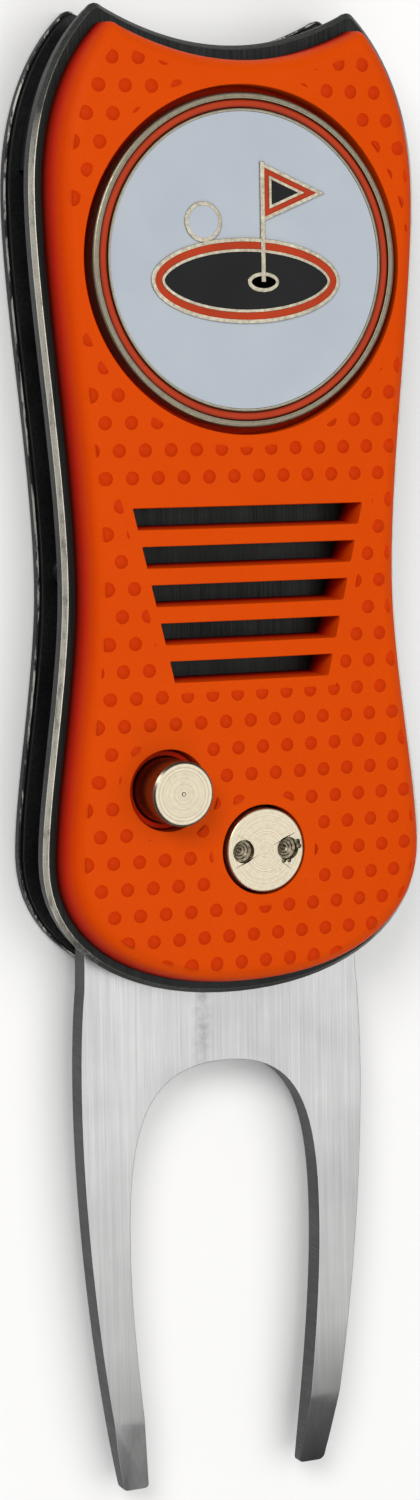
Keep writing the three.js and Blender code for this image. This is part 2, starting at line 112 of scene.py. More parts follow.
def aimedLamp(name):
    place, size, power, colour = studio[name]
    bpy.ops.object.select_all(action="DESELECT")
    bpy.ops.object.light_add(type="AREA", location=place)
    lamp = bpy.context.object
    lamp.name = name
    lamp.data.shape = "DISK"
    lamp.data.size = size
    lamp.data.energy = power
    lamp.data.color = colour
    reach = math.hypot(place[0], place[1])
    lamp.rotation_euler = (0, math.atan2(reach, place[2]), math.atan2(place[1], place[0]))


for lampName in ("overhead", "leftKey", "lowFill"):
    aimedLamp(lampName)
surround = bpy.data.worlds.new("studio surround")
surround.use_nodes = True
surround.node_tree.nodes["Background"].inputs["Color"].default_value = (1.0, 1.0, 1.0, 1.0)
surround.node_tree.nodes["Background"].inputs["Strength"].default_value = studio["surround"]
bpy.context.scene.world = surround
bpy.context.scene.view_settings.view_transform = "Standard"
print("camera and lights are set")

# finishes

marker = {
    "radius": 12.5,
    "ringOuter": 12.0,
    "ringInner": 11.3,
    "fieldRadius": 11.08,
    "wellDepth": 0.45,
    "fill": 0.34,
    "meniscus": 0.085,
}


def newFinish(name, **shader):
    finish = bpy.data.materials.new(name)
    finish.use_nodes = True
    surface = finish.node_tree.nodes["Principled BSDF"]
    for socket, value in shader.items():
        surface.inputs[socket.replace("_", " ")].default_value = value
    return finish


def addNode(finish, kind, inputs=None, **settings):
    node = finish.node_tree.nodes.new("ShaderNode" + kind)
    for name, value in settings.items():
        setattr(node, name, value)
    for name, value in (inputs or {}).items():
        node.inputs[name].default_value = value
    return node


def wire(finish, source, target):
    finish.node_tree.links.new(source, target)


def placeOf(finish, centre=(0, 0, 0), stretch=(1, 1, 1)):
    # object coordinates in metres, moved so that the pattern's middle is at the given place in millimetres
    where = addNode(finish, "TexCoord")
    moved = addNode(finish, "Mapping", {"Location": [-c * mm * s for c, s in zip(centre, stretch)],
        "Scale": stretch})
    wire(finish, where.outputs["Object"], moved.inputs["Vector"])
    return moved.outputs["Vector"]


def speckle(finish, size, detail=3.0, stretch=(1, 1, 1), rough=0.6, twist=0.0):
    # noise whose blotches are about the given size in millimetres, drawn out along an axis by a low stretch
    noise = addNode(finish, "TexNoise", {"Scale": 1 / (size * mm), "Detail": detail, "Roughness": rough,
        "Distortion": twist})
    wire(finish, placeOf(finish, stretch=stretch), noise.inputs["Vector"])
    return noise.outputs["Fac"]


def between(finish, factor, low, high, fromLow=0.3, fromHigh=0.7):
    span = addNode(finish, "MapRange", {"From Min": fromLow, "From Max": fromHigh, "To Min": low,
        "To Max": high})
    wire(finish, factor, span.inputs["Value"])
    return span.outputs["Result"]


def fade(finish, distance, low, high, start, end):
    # a ramp between two places given in millimetres
    return between(finish, distance, low, high, start * mm, end * mm)


def blendOf(finish, factor, first, second, way="MIX"):
    mix = addNode(finish, "Mix", data_type="RGBA", blend_type=way)
    wire(finish, factor, mix.inputs[0])
    for socket, value in ((mix.inputs[6], first), (mix.inputs[7], second)):
        if isinstance(value, tuple):
            socket.default_value = (*value, 1.0)
        else:
            wire(finish, value, socket)
    return mix.outputs[2]


def sumOf(finish, first, second, way="MULTIPLY"):
    step = addNode(finish, "Math", operation=way)
    for socket, value in zip(step.inputs, (first, second)):
        if isinstance(value, (int, float)):
            socket.default_value = value
        else:
            wire(finish, value, socket)
    return step.outputs[0]


def axisValue(finish, axis):
    parts = addNode(finish, "SeparateXYZ")
    wire(finish, placeOf(finish), parts.inputs["Vector"])
    return parts.outputs[axis]


def ringDistance(finish, centre):
    # distance from an upright axis, in metres
    flat = addNode(finish, "VectorMath", operation="LENGTH")
    wire(finish, placeOf(finish, (*centre, 0), (1, 1, 0)), flat.inputs[0])
    return flat.outputs["Value"]


def relief(finish, factor, depth, strength=1.0, under=None):
    bump = addNode(finish, "Bump", {"Strength": strength, "Distance": depth * mm})
    wire(finish, factor, bump.inputs["Height"])
    if under is not None:
        wire(finish, under, bump.inputs["Normal"])
    return bump.outputs["Normal"]


def toShader(finish, colour=None, roughness=None, normal=None):
    surface = finish.node_tree.nodes["Principled BSDF"]
    for socket, source in (("Base Color", colour), ("Roughness", roughness), ("Normal", normal)):
        if source is not None:
            wire(finish, source, surface.inputs[socket])
    return finish


moulding = {
    "driftSize": 9.0,
    "grainSize": 0.22,
    "patchSize": 3.2,
    "grainDepth": 0.012,
    "patchDepth": 0.02,
    # depths below the face between which painted shade darkens the colour down a wall
    "wallShadeFade": (2.2, 0.62),
    "footShadeFade": (3.2, 2.1),
}


def mouldedPlastic(name, face, shade, deep, wall, foot):
    # injection-moulded polymer: fine orange-peel, slow colour drift and a few duller handled patches,
    # with painted shade darkening its colour down every wall until it is almost brown at the foot
    finish = newFinish(name, Specular_IOR_Level=0.04)
    drift = speckle(finish, moulding["driftSize"], 3.0)
    grains = speckle(finish, moulding["grainSize"], 2.0)
    patches = speckle(finish, moulding["patchSize"], 4.0, twist=0.6)
    colour = blendOf(finish, between(finish, drift, 0.0, 1.0), face, shade)
    colour = blendOf(finish, between(finish, grains, 0.0, 0.16, 0.45, 0.75), colour, deep)
    height = axisValue(finish, "Z")
    # painted shade down every wall, darkest at the foot
    for (start, end), shadeColour in ((moulding["wallShadeFade"], wall), (moulding["footShadeFade"], foot)):
        colour = blendOf(finish, fade(finish, height, 1.0, 0.0, shellTop - start, shellTop - end), colour,
            shadeColour)
    skin = relief(finish, grains, moulding["grainDepth"], 0.5)
    skin = relief(finish, patches, moulding["patchDepth"], 0.25, skin)
    return toShader(finish, colour, between(finish, patches, 0.44, 0.62), skin)


def brushedMetal(name, bright, dark, low, high, lineSize=0.12, along=(1, 0.012, 1), depth=0.006,
        metallic=1.0):
    # fine parallel brush lines with a slow change of tone across them
    finish = newFinish(name, Metallic=metallic)
    lines = speckle(finish, lineSize, 4.0, along, 0.7)
    broad = speckle(finish, lineSize * 14, 2.0, along)
    cloud = speckle(finish, 6.0, 3.0)
    tone = blendOf(finish, between(finish, lines, 0.0, 1.0, 0.32, 0.68), dark, bright)
    tone = blendOf(finish, between(finish, broad, 0.0, 0.35), tone, dark)
    return toShader(finish, tone, between(finish, cloud, low, high),
        relief(finish, lines, depth, 0.6)), tone


def turnedMetal(name, centre, bright, dark, low, high, ringSize=0.09, depth=0.008):
    # facing marks left by the lathe: uneven rings about the piece's own axis
    finish = newFinish(name, Metallic=1.0)
    away = ringDistance(finish, centre)
    rings = addNode(finish, "TexNoise", {"Scale": 1.0, "Detail": 3.0, "Roughness": 0.65},
        noise_dimensions="1D")
    wire(finish, sumOf(finish, away, 1 / (ringSize * mm)), rings.inputs["W"])
    specks = speckle(finish, 0.35, 4.0)
    tone = blendOf(finish, between(finish, rings.outputs["Fac"], 0.0, 1.0, 0.3, 0.7), dark, bright)
    tone = blendOf(finish, between(finish, specks, 0.0, 0.25, 0.55, 0.8), tone, dark)
    skin = relief(finish, rings.outputs["Fac"], depth, 0.55)
    return toShader(finish, tone, between(finish, specks, low, high), skin)


def enamel(name, face, shade, roughness=0.07, edges=()):
    # fired enamel under a clear gloss, with a faint drift of colour and a slow ripple; it takes painted
    # shade against the metal wherever an edge radius is given with the side that the metal is on
    finish = newFinish(name, Coat_Weight=0.06, Coat_Roughness=0.04, Specular_IOR_Level=0.12)
    drift = speckle(finish, 5.0, 2.0)
    dust = speckle(finish, 0.5, 2.0)
    colour = blendOf(finish, between(finish, drift, 0.0, 1.0), face, shade)
    for radius, side in edges:
        # painted shade in the crease where the enamel meets the metal
        away = ringDistance(finish, markerCentre)
        dark = fade(finish, away, 0.0, 1.0, radius - side * 0.24, radius - side * 0.02)
        colour = blendOf(finish, dark, colour, (0.05, 0.003, 0.001))
    ripple = relief(finish, drift, 0.05, 0.35)
    return toShader(finish, colour, between(finish, dust, roughness, roughness + 0.06), ripple)


shellOrange = mouldedPlastic("shell orange", (0.69, 0.068, 0.0001), (0.66, 0.063, 0.0001),
    (0.55, 0.036, 0.0001), (0.46, 0.011, 0.0001), (0.06, 0.0016, 0.0001))
# the dots take a darker, redder copy of the shell's orange: painted shade on the same moulded plastic
dotOrange = mouldedPlastic("dot orange", (0.59, 0.038, 0.0001), (0.56, 0.034, 0.0001),
    (0.44, 0.020, 0.0001), (0.46, 0.011, 0.0001), (0.06, 0.0016, 0.0001))
blackPlate, _ = brushedMetal("black plate", (0.014, 0.015, 0.0155), (0.004, 0.0045, 0.005), 0.36, 0.5,
    metallic=0.85)
plateEdge, _ = brushedMetal("plate edge", (0.040, 0.041, 0.042), (0.010, 0.0105, 0.011), 0.38, 0.5, 0.2,
    (1, 1, 0.05), metallic=0.9)
linerEdge, linerTone = brushedMetal("liner edge", (0.055, 0.055, 0.056), (0.018, 0.0185, 0.019), 0.36, 0.52,
    0.16, (1, 1, 0.05), metallic=0.9)
# the front liner's edge darkens towards the front frame: painted shade under the frame's overhang
shadeUnderFrame = fade(linerEdge, axisValue(linerEdge, "Z"), 0.0, 0.95, gapTop + 0.3, frontLinerTop - 0.25)
toShader(linerEdge, blendOf(linerEdge, shadeUnderFrame, linerTone, (0.002, 0.002, 0.002)))
blackScrew, _ = brushedMetal("black screw", (0.022, 0.023, 0.024), (0.008, 0.008, 0.009), 0.3, 0.45, 0.2,
    (1, 1, 0.3), metallic=0.85)
slotFloorSteel, _ = brushedMetal("slot floor steel", (0.030, 0.033, 0.032), (0.007, 0.0078, 0.0075), 0.34,
    0.48, 0.10, (1, 0.012, 1), 0.01, metallic=0.9)
# the bush is a darker red copy of the shell's orange: painted shade for the inside of the button hole
bushPolymer = mouldedPlastic("bush polymer", (0.50, 0.02, 0.0006), (0.46, 0.018, 0.0006),
    (0.3, 0.01, 0.0005), (0.42, 0.010, 0.0004), (0.12, 0.003, 0.0003))
# the fork's sides are a much darker copy of its steel: painted shade on the sides turned from the light
forkSide, _ = brushedMetal("fork side", (0.095, 0.096, 0.098), (0.045, 0.045, 0.047), 0.45, 0.6, 0.18,
    (1, 1, 0.06), metallic=0.6)
bronze, _ = brushedMetal("washer bronze", (0.62, 0.40, 0.16), (0.38, 0.22, 0.08), 0.32, 0.48, 0.15,
    (1, 0.2, 1))
springWire, _ = brushedMetal("spring wire", (0.42, 0.43, 0.45), (0.20, 0.20, 0.21), 0.28, 0.42, 0.15,
    (1, 1, 0.2))
magnetPlate, _ = brushedMetal("magnet plating", (0.62, 0.61, 0.58), (0.42, 0.41, 0.39), 0.18, 0.32, 0.6,
    (1, 1, 1))
buttonSteel = turnedMetal("button steel", buttonCentre, (0.62, 0.56, 0.43), (0.43, 0.375, 0.28), 0.26, 0.4,
    0.14, 0.014)
pivotSteel = turnedMetal("pivot steel", pivotCentre, (0.62, 0.565, 0.43), (0.44, 0.39, 0.29), 0.24, 0.38,
    0.1, 0.014)
# darker steel for the insides of the spanner seats: its dark tone is painted shade in the holes
seatSteel, _ = brushedMetal("seat steel", (0.46, 0.40, 0.29), (0.07, 0.058, 0.04), 0.3, 0.5, 0.25,
    (1, 1, 1), 0.02)
coinNickel = turnedMetal("coin nickel", markerCentre, (0.40, 0.36, 0.265), (0.075, 0.066, 0.048), 0.3, 0.52,
    0.16, 0.03)
whiteEnamel = enamel("white enamel", (0.455, 0.50, 0.555), (0.425, 0.47, 0.53))
# the ring's dark edges are painted shade against the nickel lines
ringEnamel = enamel("ring enamel", (0.46, 0.036, 0.0005), (0.38, 0.028, 0.0005), 0.12,
    [(marker["ringInner"], -1), (marker["ringOuter"], 1)])
bandEnamel = enamel("band enamel", (0.46, 0.036, 0.0005), (0.38, 0.028, 0.0005))
blackEnamel = enamel("black enamel", (0.006, 0.0065, 0.008), (0.003, 0.0035, 0.0045))


def brightBevel(name):
    # bare bright edge of the front plate, with painted reflection along its middle and painted shade
    # round the horns and along the foot, broken by small nicks
    finish = newFinish(name, Metallic=0.9)
    nicks = speckle(finish, 0.5, 4.0, (1, 0.25, 1), 0.7)
    fine = speckle(finish, 0.1, 3.0, (1, 1, 0.1))
    along = axisValue(finish, "Y")
    raggedAlong = sumOf(finish, along, between(finish, nicks, -1.2 * mm, 1.2 * mm, 0.3, 0.7), "ADD")
    # painted shade round the horns and along the foot, painted reflection between them
    upper = fade(finish, raggedAlong, 1.0, 0.0, 44.0, 50.0)
    lower = fade(finish, raggedAlong, 0.0, 1.0, -14.5, -9.5)
    nicksAndReflection = sumOf(finish, sumOf(finish, upper, lower), between(finish, nicks, 0.45, 1.0, 0.3, 0.45))
    tone = blendOf(finish, between(finish, fine, 0.0, 1.0), (0.62, 0.595, 0.50), (0.84, 0.80, 0.70))
    shadedTone = blendOf(finish, between(finish, fine, 0.0, 1.0), (0.035, 0.038, 0.034), (0.095, 0.10, 0.09))
    tone = blendOf(finish, nicksAndReflection, shadedTone, tone)
    return toShader(finish, tone, between(finish, nicks, 0.3, 0.45), relief(finish, nicks, 0.02, 0.4))


def palePaper(name):
    # matte studio paper
    finish = newFinish(name, Specular_IOR_Level=0.2)
    fibre = speckle(finish, 60.0, 2.0)
    colour = blendOf(finish, between(finish, fibre, 0.0, 1.0), (0.965, 0.965, 0.965), (0.955, 0.955, 0.955))
    return toShader(finish, colour, between(finish, fibre, 0.8, 0.9))


def forkFaceSteel(name):
    # long brush lines, a faint mottled painted shade above the arch under the handle's foot, a darker tone
    # down the prongs, and painted shade growing towards the points and over the start of the left prong's
    # ground facet
    finish, tone = brushedMetal(name, (0.57, 0.57, 0.572), (0.41, 0.41, 0.418), 0.30, 0.42, 0.10,
        (1, 0.008, 1), 0.012)
    across = axisValue(finish, "X")
    along = axisValue(finish, "Y")
    # painted shade in a faint mottled streak above the arch, under the handle's foot
    middle = sumOf(finish, across, 2.2 * mm, "ADD")
    streak = sumOf(finish, fade(finish, middle, 0.0, 1.0, -1.1, -0.1),
        fade(finish, middle, 1.0, 0.0, 0.1, 1.1))
    streak = sumOf(finish, streak, fade(finish, along, 0.0, 1.0, -25, -22))
    mottled = sumOf(finish, streak, between(finish, speckle(finish, 0.6, 5.0), 0.05, 0.55, 0.35, 0.65))
    tone = blendOf(finish, mottled, tone, (0.20, 0.20, 0.205))
    cloudy = between(finish, speckle(finish, 2.6, 4.0, (1, 0.2, 1)), 0.65, 1.0)
    waist = sumOf(finish, fade(finish, along, 1.0, 0.0, -50, -26), 0.30)
    tone = blendOf(finish, waist, tone, (0.16, 0.158, 0.15))
    # painted shade growing towards the points, with a step at the start of the left prong's ground facet
    leftTip = sumOf(finish, fade(finish, along, 1.0, 0.0, -57.5, -46.0), cloudy)
    ground = sumOf(finish, fade(finish, along, 0.34, 0.0, -52.2, -51.2), leftTip, "ADD")
    leftTip = sumOf(finish, ground, cloudy)
    rightTip = sumOf(finish, fade(finish, along, 1.0, 0.0, -57.5, -46.0),
        fade(finish, across, 0.0, 1.0, 0.0, 4))
    tone = blendOf(finish, sumOf(finish, leftTip, 0.66), tone, (0.07, 0.072, 0.068))
    tone = blendOf(finish, sumOf(finish, rightTip, 0.8), tone, (0.03, 0.032, 0.03))
    return toShader(finish, tone)


def wornEdge(name):
    # blackened steel whose upper corner is rubbed bright in a broken line
    finish = newFinish(name, Metallic=0.9)
    nicks = speckle(finish, 0.7, 5.0, (1, 0.16, 1), 0.75)
    colour = blendOf(finish, between(finish, nicks, 0.0, 1.0, 0.47, 0.56), (0.03, 0.031, 0.032),
        (0.62, 0.60, 0.55))
    return toShader(finish, colour, between(finish, nicks, 0.5, 0.4), relief(finish, nicks, 0.02, 0.4))


# the button's turned side is a darker copy of the button steel: painted shade
buttonSide, _ = brushedMetal("button side", (0.30, 0.27, 0.21), (0.14, 0.125, 0.10), 0.2, 0.32, 0.12,
    (0.05, 0.05, 1))
pinSteel, _ = brushedMetal("pin steel", (0.60, 0.58, 0.54), (0.40, 0.385, 0.35), 0.25, 0.4, 0.12,
    (1, 1, 0.1))
emblemNickel, _ = brushedMetal("emblem nickel", (0.58, 0.54, 0.43), (0.26, 0.235, 0.175), 0.25, 0.42, 0.3,
    (1, 1, 1))
bevelBright = brightBevel("bevel bright")
rearWorn = wornEdge("rear worn edge")
forkFace = forkFaceSteel("fork face")
floorPaper = palePaper("floor paper")
print("finishes are mixed")

# bench tools


def clearSelection():
    bpy.ops.object.select_all(action="DESELECT")


def pickUp(*pieces):
    clearSelection()
    for piece in pieces:
        piece.select_set(True)
    bpy.context.view_layer.objects.active = pieces[0]
    return pieces[0]


def nameIt(piece, name):
    piece.name = name
    piece.data.name = name
    return piece


def startEdit(piece, kind="VERT"):
    pickUp(piece)
    bpy.ops.object.mode_set(mode="EDIT")
    bpy.ops.mesh.select_mode(type=kind)
    bpy.ops.mesh.select_all(action="SELECT")


def endEdit():
    bpy.ops.object.mode_set(mode="OBJECT")


def selectPoints(piece, test):
    startEdit(piece)
    bpy.ops.mesh.select_all(action="DESELECT")
    endEdit()
    for point in piece.data.vertices:
        point.select = test(point.co)
    bpy.ops.object.mode_set(mode="EDIT")
    bpy.ops.mesh.select_mode(type="VERT")


def settlePlace(piece):
    pickUp(piece)
    bpy.ops.object.transform_apply(location=True, rotation=True, scale=True)
    return piece


def closeAndFaceOut(piece):
    startEdit(piece)
    bpy.ops.mesh.remove_doubles(threshold=0.0004)
    bpy.ops.mesh.fill_holes(sides=0)
    bpy.ops.mesh.select_all(action="SELECT")
    bpy.ops.mesh.normals_make_consistent(inside=False)
    endEdit()
    return piece


def applied(piece, kind, **settings):
    pickUp(piece)
    bpy.ops.object.modifier_add(type=kind)
    modifier = piece.modifiers[-1]
    for name, value in settings.items():
        setattr(modifier, name, value)
    bpy.ops.object.modifier_apply(modifier=modifier.name)
    return piece


def combine(piece, others, way="DIFFERENCE"):
    tool = pickUp(*others)
    if len(others) > 1:
        bpy.ops.object.join()
    applied(piece, "BOOLEAN", operation=way, solver="EXACT", object=tool)
    bpy.data.objects.remove(tool, do_unlink=True)


def easeEdges(piece, width, angle=40):
    limit = math.radians(angle)
    return applied(piece, "BEVEL", width=width, segments=2, limit_method="ANGLE", angle_limit=limit,
        use_clamp_overlap=False)


def repeated(piece, count, shift):
    return applied(piece, "ARRAY", count=count, use_relative_offset=False, use_constant_offset=True,
        constant_offset_displace=shift)


def copyOf(piece, name, shift):
    pickUp(piece)
    bpy.ops.object.duplicate(linked=False)
    twin = nameIt(bpy.context.object, name)
    bpy.ops.transform.translate(value=shift)
    return settlePlace(twin)


def plainBlock(centre, size):
    clearSelection()
    bpy.ops.mesh.primitive_cube_add(size=1, location=centre, scale=size)
    return settlePlace(bpy.context.object)


def roundBar(centre, radius, bottom, top, sides=64):
    clearSelection()
    bpy.ops.mesh.primitive_cylinder_add(vertices=sides, radius=radius, depth=top - bottom,
        location=(*centre, (bottom + top) / 2))
    return settlePlace(bpy.context.object)


def turnedPiece(name, centre, profile, sides=96):
    # a circle pulled through each radius and height of the profile, as on a lathe
    radius, height = profile[0]
    clearSelection()
    bpy.ops.mesh.primitive_circle_add(vertices=sides, radius=radius, location=(*centre, height))
    piece = settlePlace(bpy.context.object)
    startEdit(piece)
    for nextRadius, nextHeight in profile[1:]:
        bpy.ops.mesh.extrude_region_move(TRANSFORM_OT_translate={"value": (0, 0, nextHeight - height)})
        growth = nextRadius / radius
        bpy.ops.transform.resize(value=(growth, growth, 1), center_override=(*centre, nextHeight))
        radius, height = nextRadius, nextHeight
    endEdit()
    return nameIt(closeAndFaceOut(piece), name)


def giveFinishes(piece, *finishes):
    for finish in finishes:
        piece.data.materials.append(finish)


def paintFaces(piece, index, test):
    for face in piece.data.polygons:
        if test(face.center, face.normal):
            face.material_index = index


def finishPiece(piece, body, finishes, nodes=(), smoothAngle=35):
    pickUp(piece)
    giveFinishes(piece, *finishes)
    bpy.ops.object.shade_smooth_by_angle(angle=math.radians(smoothAngle))
    applied(piece, "WEIGHTED_NORMAL", keep_sharp=True, weight=60)
    piece.scale = (mm, mm, mm)
    settlePlace(piece)
    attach(piece, body)
    if nodes:
        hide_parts(*nodes)


# outlines drawn as smooth curves


def straightRun(start, end):
    third = [s + (e - s) / 3 for s, e in zip(start, end)]
    twoThirds = [s + (e - s) * 2 / 3 for s, e in zip(start, end)]
    return start, tuple(third), tuple(twoThirds), end


def softCorner(start, corner, end):
    leave = tuple(s + (c - s) * 2 / 3 for s, c in zip(start, corner))
    arrive = tuple(e + (c - e) * 2 / 3 for e, c in zip(end, corner))
    return start, leave, arrive, end


def mirrored(runs):
    return [tuple((-x, y) for x, y in reversed(run)) for run in reversed(runs)]


def drawLoop(runs, height, steps):
    clearSelection()
    bpy.ops.curve.primitive_bezier_circle_add(location=(0, 0, 0))
    drawn = bpy.context.object
    bpy.ops.object.mode_set(mode="EDIT")
    bpy.ops.curve.select_all(action="SELECT")
    bpy.ops.curve.subdivide(number_cuts=len(runs) // 4 - 1)
    bpy.ops.object.mode_set(mode="OBJECT")
    drawn.data.resolution_u = steps
    for index, point in enumerate(drawn.data.splines[0].bezier_points):
        point.handle_left_type = point.handle_right_type = "FREE"
        point.co = (*runs[index][0], height)
        point.handle_left = (*runs[index - 1][2], height)
        point.handle_right = (*runs[index][1], height)
    bpy.ops.object.convert(target="MESH")
    return bpy.context.object


def stackedSolid(name, levels, steps=18):
    # smooth outlines at rising heights, bridged one to the next and closed at both ends
    loops = [drawLoop(runs, height, steps) for runs, height in levels]
    piece = pickUp(*loops)
    bpy.ops.object.join()
    heights = [height for _, height in levels]
    for low, high in zip(heights, heights[1:]):
        selectPoints(piece, lambda point: abs(point.z - low) < 1e-3 or abs(point.z - high) < 1e-3)
        bpy.ops.mesh.bridge_edge_loops()
        endEdit()
    return nameIt(closeAndFaceOut(piece), name)


handle = {
    "bulgeHalfWidth": 16.07,
    "waistHalfWidth": 14.02,
    "footY": -17.78,
    "bulgeY": -6.8,
    "waistY": 14.22,
    "shoulderY": 43.42,
    "hornX": 10.5,
    "hornY": 57.7,
    "notchY": 54.72,
    # how far each curve runs on before it bends
    "footReach": 9.4,
    "footBend": 6.8,
    "bulgeBend": 4.9,
    "waistBend": 6.8,
    "waistRise": 9.2,
    "shoulderBend": 8,
    "shoulderRise": 5.2,
    "hornShoulder": (14.6, 53.8),
}


def handleOutline(inset, hornInset=None):
    # anticlockwise from the middle of the foot, set in from the plates' edge
    hornInset = inset if hornInset is None else hornInset
    bulge = handle["bulgeHalfWidth"] - inset
    waist = handle["waistHalfWidth"] - inset
    foot = (0.0, handle["footY"] + inset)
    low, mid, high = handle["bulgeY"], handle["waistY"], handle["shoulderY"]
    tip = (handle["hornX"] - 0.2 * hornInset, handle["hornY"] - 1.2 * hornInset)
    outer = (tip[0] + 0.45, tip[1] - 0.4)
    inner = (tip[0] - 0.6, tip[1] - 0.45)
    dip = 2 * (handle["notchY"] - hornInset) - inner[1]
    middle = (0.0, (inner[1] + dip) / 2)
    footBend = (handle["footReach"] - 0.5 * inset, foot[1])
    shoulderRise = high + handle["shoulderRise"] - 0.28 * inset
    hornX, hornY = handle["hornShoulder"]
    hornBend = (hornX - 0.93 * inset, hornY - 0.81 * hornInset)
    side = [
        (foot, footBend, (bulge, low - handle["footBend"] + 0.6 * inset), (bulge, low)),
        ((bulge, low), (bulge, low + handle["bulgeBend"]), (waist, mid - handle["waistBend"]),
            (waist, mid)),
        ((waist, mid), (waist, mid + handle["waistRise"]), (bulge, high - handle["shoulderBend"]),
            (bulge, high)),
        ((bulge, high), (bulge, shoulderRise), hornBend, outer),
        softCorner(outer, tip, inner),
        softCorner(inner, (inner[0] / 2, middle[1]), middle),
    ]
    return side + mirrored(side)


# plates of the handle

plates = {
    # height and inset of each outline, from the back of the plate to its front
    "rear_frame": [(0.0, 0.35), (0.05, 0.19), (0.16, 0.06), (0.34, 0.0), (rearFrameTop - 0.12, 0.0),
        (rearFrameTop, 0.12)],
    "rear_liner": [(rearFrameTop, 0.3), (rearFrameTop + 0.04, 0.25), (gapBottom - 0.04, 0.25),
        (gapBottom, 0.3)],
    "front_liner": [(gapTop, 0.25), (gapTop + 0.05, 0.2), (frontLinerTop - 0.05, 0.2),
        (frontLinerTop, 0.26)],
    "front_frame": [(frontLinerTop, 0.05), (frontLinerTop + 0.05, 0.0), (frontFrameTop - 0.36, 0.0),
        (frontFrameTop - 0.31, 0.03), (frontFrameTop - 0.03, 0.3), (frontFrameTop, 0.36)],
    "spacerInset": 0.9,
    "spacerStart": 45.4,
    "spacerEase": 0.08,
    "foldedReach": 52.6,
    "screwBore": 0.85,
    "headBore": 1.55,
    "headDepth": 0.7,
    "barrelBore": 2.55,
    "barrelHeadBore": 4.05,
    "barrelHeadDepth": 0.8,
    "pinBore": 1.25,
    "neckBore": 1.25,
    "buttonBore": 2.58,
    "springWindow": 6.0,
    "legSlotShift": 5.7,
    "legSlotSize": (5.4, 1.2, 3),
}


def plateBlank(name):
    return stackedSolid(name + "_piece", [(handleOutline(inset), height) for height, inset in plates[name]])


def steppedBore(centre, wide, narrow, start, step, end):
    return turnedPiece("bore", centre, [(wide, start), (wide, step), (narrow, step), (narrow, end)], 40)


def screwBores(names, start, end, headDepth=None):
    bores = []
    for name in names:
        centre = nodeCentre(name)
        if headDepth is None:
            bores.append(roundBar(centre, plates["screwBore"], start, end, 32))
        else:
            wide, narrow = plates["headBore"], plates["screwBore"]
            bores.append(steppedBore(centre, wide, narrow, start, headDepth, end))
    return bores


throughScrews = topScrews + pillarScrews

rearFrame = plateBlank("rear_frame")
combine(rearFrame, screwBores(throughScrews, -1, gapBottom, plates["headDepth"]) + [
    steppedBore(pivotCentre, plates["barrelHeadBore"], plates["barrelBore"], -1, plates["barrelHeadDepth"],
        gapBottom)])
paintFaces(rearFrame, 1, lambda centre, normal: abs(normal.z) < 0.9)
paintFaces(rearFrame, 2, lambda centre, normal: 0.3 < normal.z < 0.9)
finishPiece(rearFrame, "handle", [blackPlate, plateEdge, rearWorn], ["rear_frame"])

rearLiner = plateBlank("rear_liner")
combine(rearLiner, screwBores(throughScrews, 0, forkBottom) + [
    roundBar(pivotCentre, plates["barrelBore"], 0, forkBottom),
    roundBar(stopPinCentre, plates["pinBore"], 0, forkBottom, 32)])
paintFaces(rearLiner, 1, lambda centre, normal: abs(normal.z) < 0.9)
finishPiece(rearLiner, "handle", [linerEdge, blackPlate], ["rear_liner"])

frontLiner = plateBlank("front_liner")
springWindow = roundBar(pivotCentre, plates["springWindow"], forkTop, frontFrameTop)
legPlace = (pivotCentre[0] + plates["legSlotShift"], pivotCentre[1], frontLinerTop - 0.5)
combine(springWindow, [plainBlock(legPlace, plates["legSlotSize"])], "UNION")
combine(frontLiner, [springWindow])
linerBores = screwBores(shellScrews, forkTop, frontFrameTop, gapTop + plates["headDepth"])
combine(frontLiner, linerBores + screwBores(throughScrews, forkTop, frontFrameTop) + [
    roundBar(buttonCentre, plates["neckBore"], forkTop, frontFrameTop, 40),
    roundBar(stopPinCentre, plates["pinBore"], forkTop, frontFrameTop, 32)])
paintFaces(frontLiner, 1, lambda centre, normal: abs(normal.z) > 0.9)
finishPiece(frontLiner, "handle", [linerEdge, blackPlate], ["front_liner"])

frontFrame = plateBlank("front_frame")
combine(frontFrame, screwBores(shellScrews, gapTop, shellTop) + [
    roundBar(pivotCentre, plates["barrelBore"], gapTop, shellTop),
    roundBar(buttonCentre, plates["buttonBore"], gapTop, shellTop)])
paintFaces(frontFrame, 1, lambda centre, normal: abs(normal.z) < 0.3)
# the bevel faces take the bright bevel finish with its painted reflection and shade
paintFaces(frontFrame, 2, lambda centre, normal: 0.3 <= normal.z < 0.95)
paintFaces(frontFrame, 3, lambda centre, normal: normal.z >= 0.95)
finishPiece(frontFrame, "handle", [blackPlate, plateEdge, bevelBright, slotFloorSteel],
    ["front_frame"])

spacerEdge = handleOutline(plates["spacerInset"])
spacer = stackedSolid("top_spacer_piece", [(spacerEdge, height) for height in (gapBottom, gapTop)])
startEdit(spacer)
bpy.ops.mesh.bisect(plane_co=(0, plates["spacerStart"], 0), plane_no=(0, 1, 0), use_fill=True,
    clear_inner=True)
endEdit()
foldedSweep = roundBar(pivotCentre, plates["foldedReach"], gapBottom - 1, gapTop + 1, 256)
combine(spacer, [foldedSweep] + screwBores(topScrews, 0, shellTop))
easeEdges(spacer, plates["spacerEase"])
finishPiece(spacer, "handle", [blackScrew], ["top_spacer"])
print("handle plates are cut")

# moulded shell with its dots

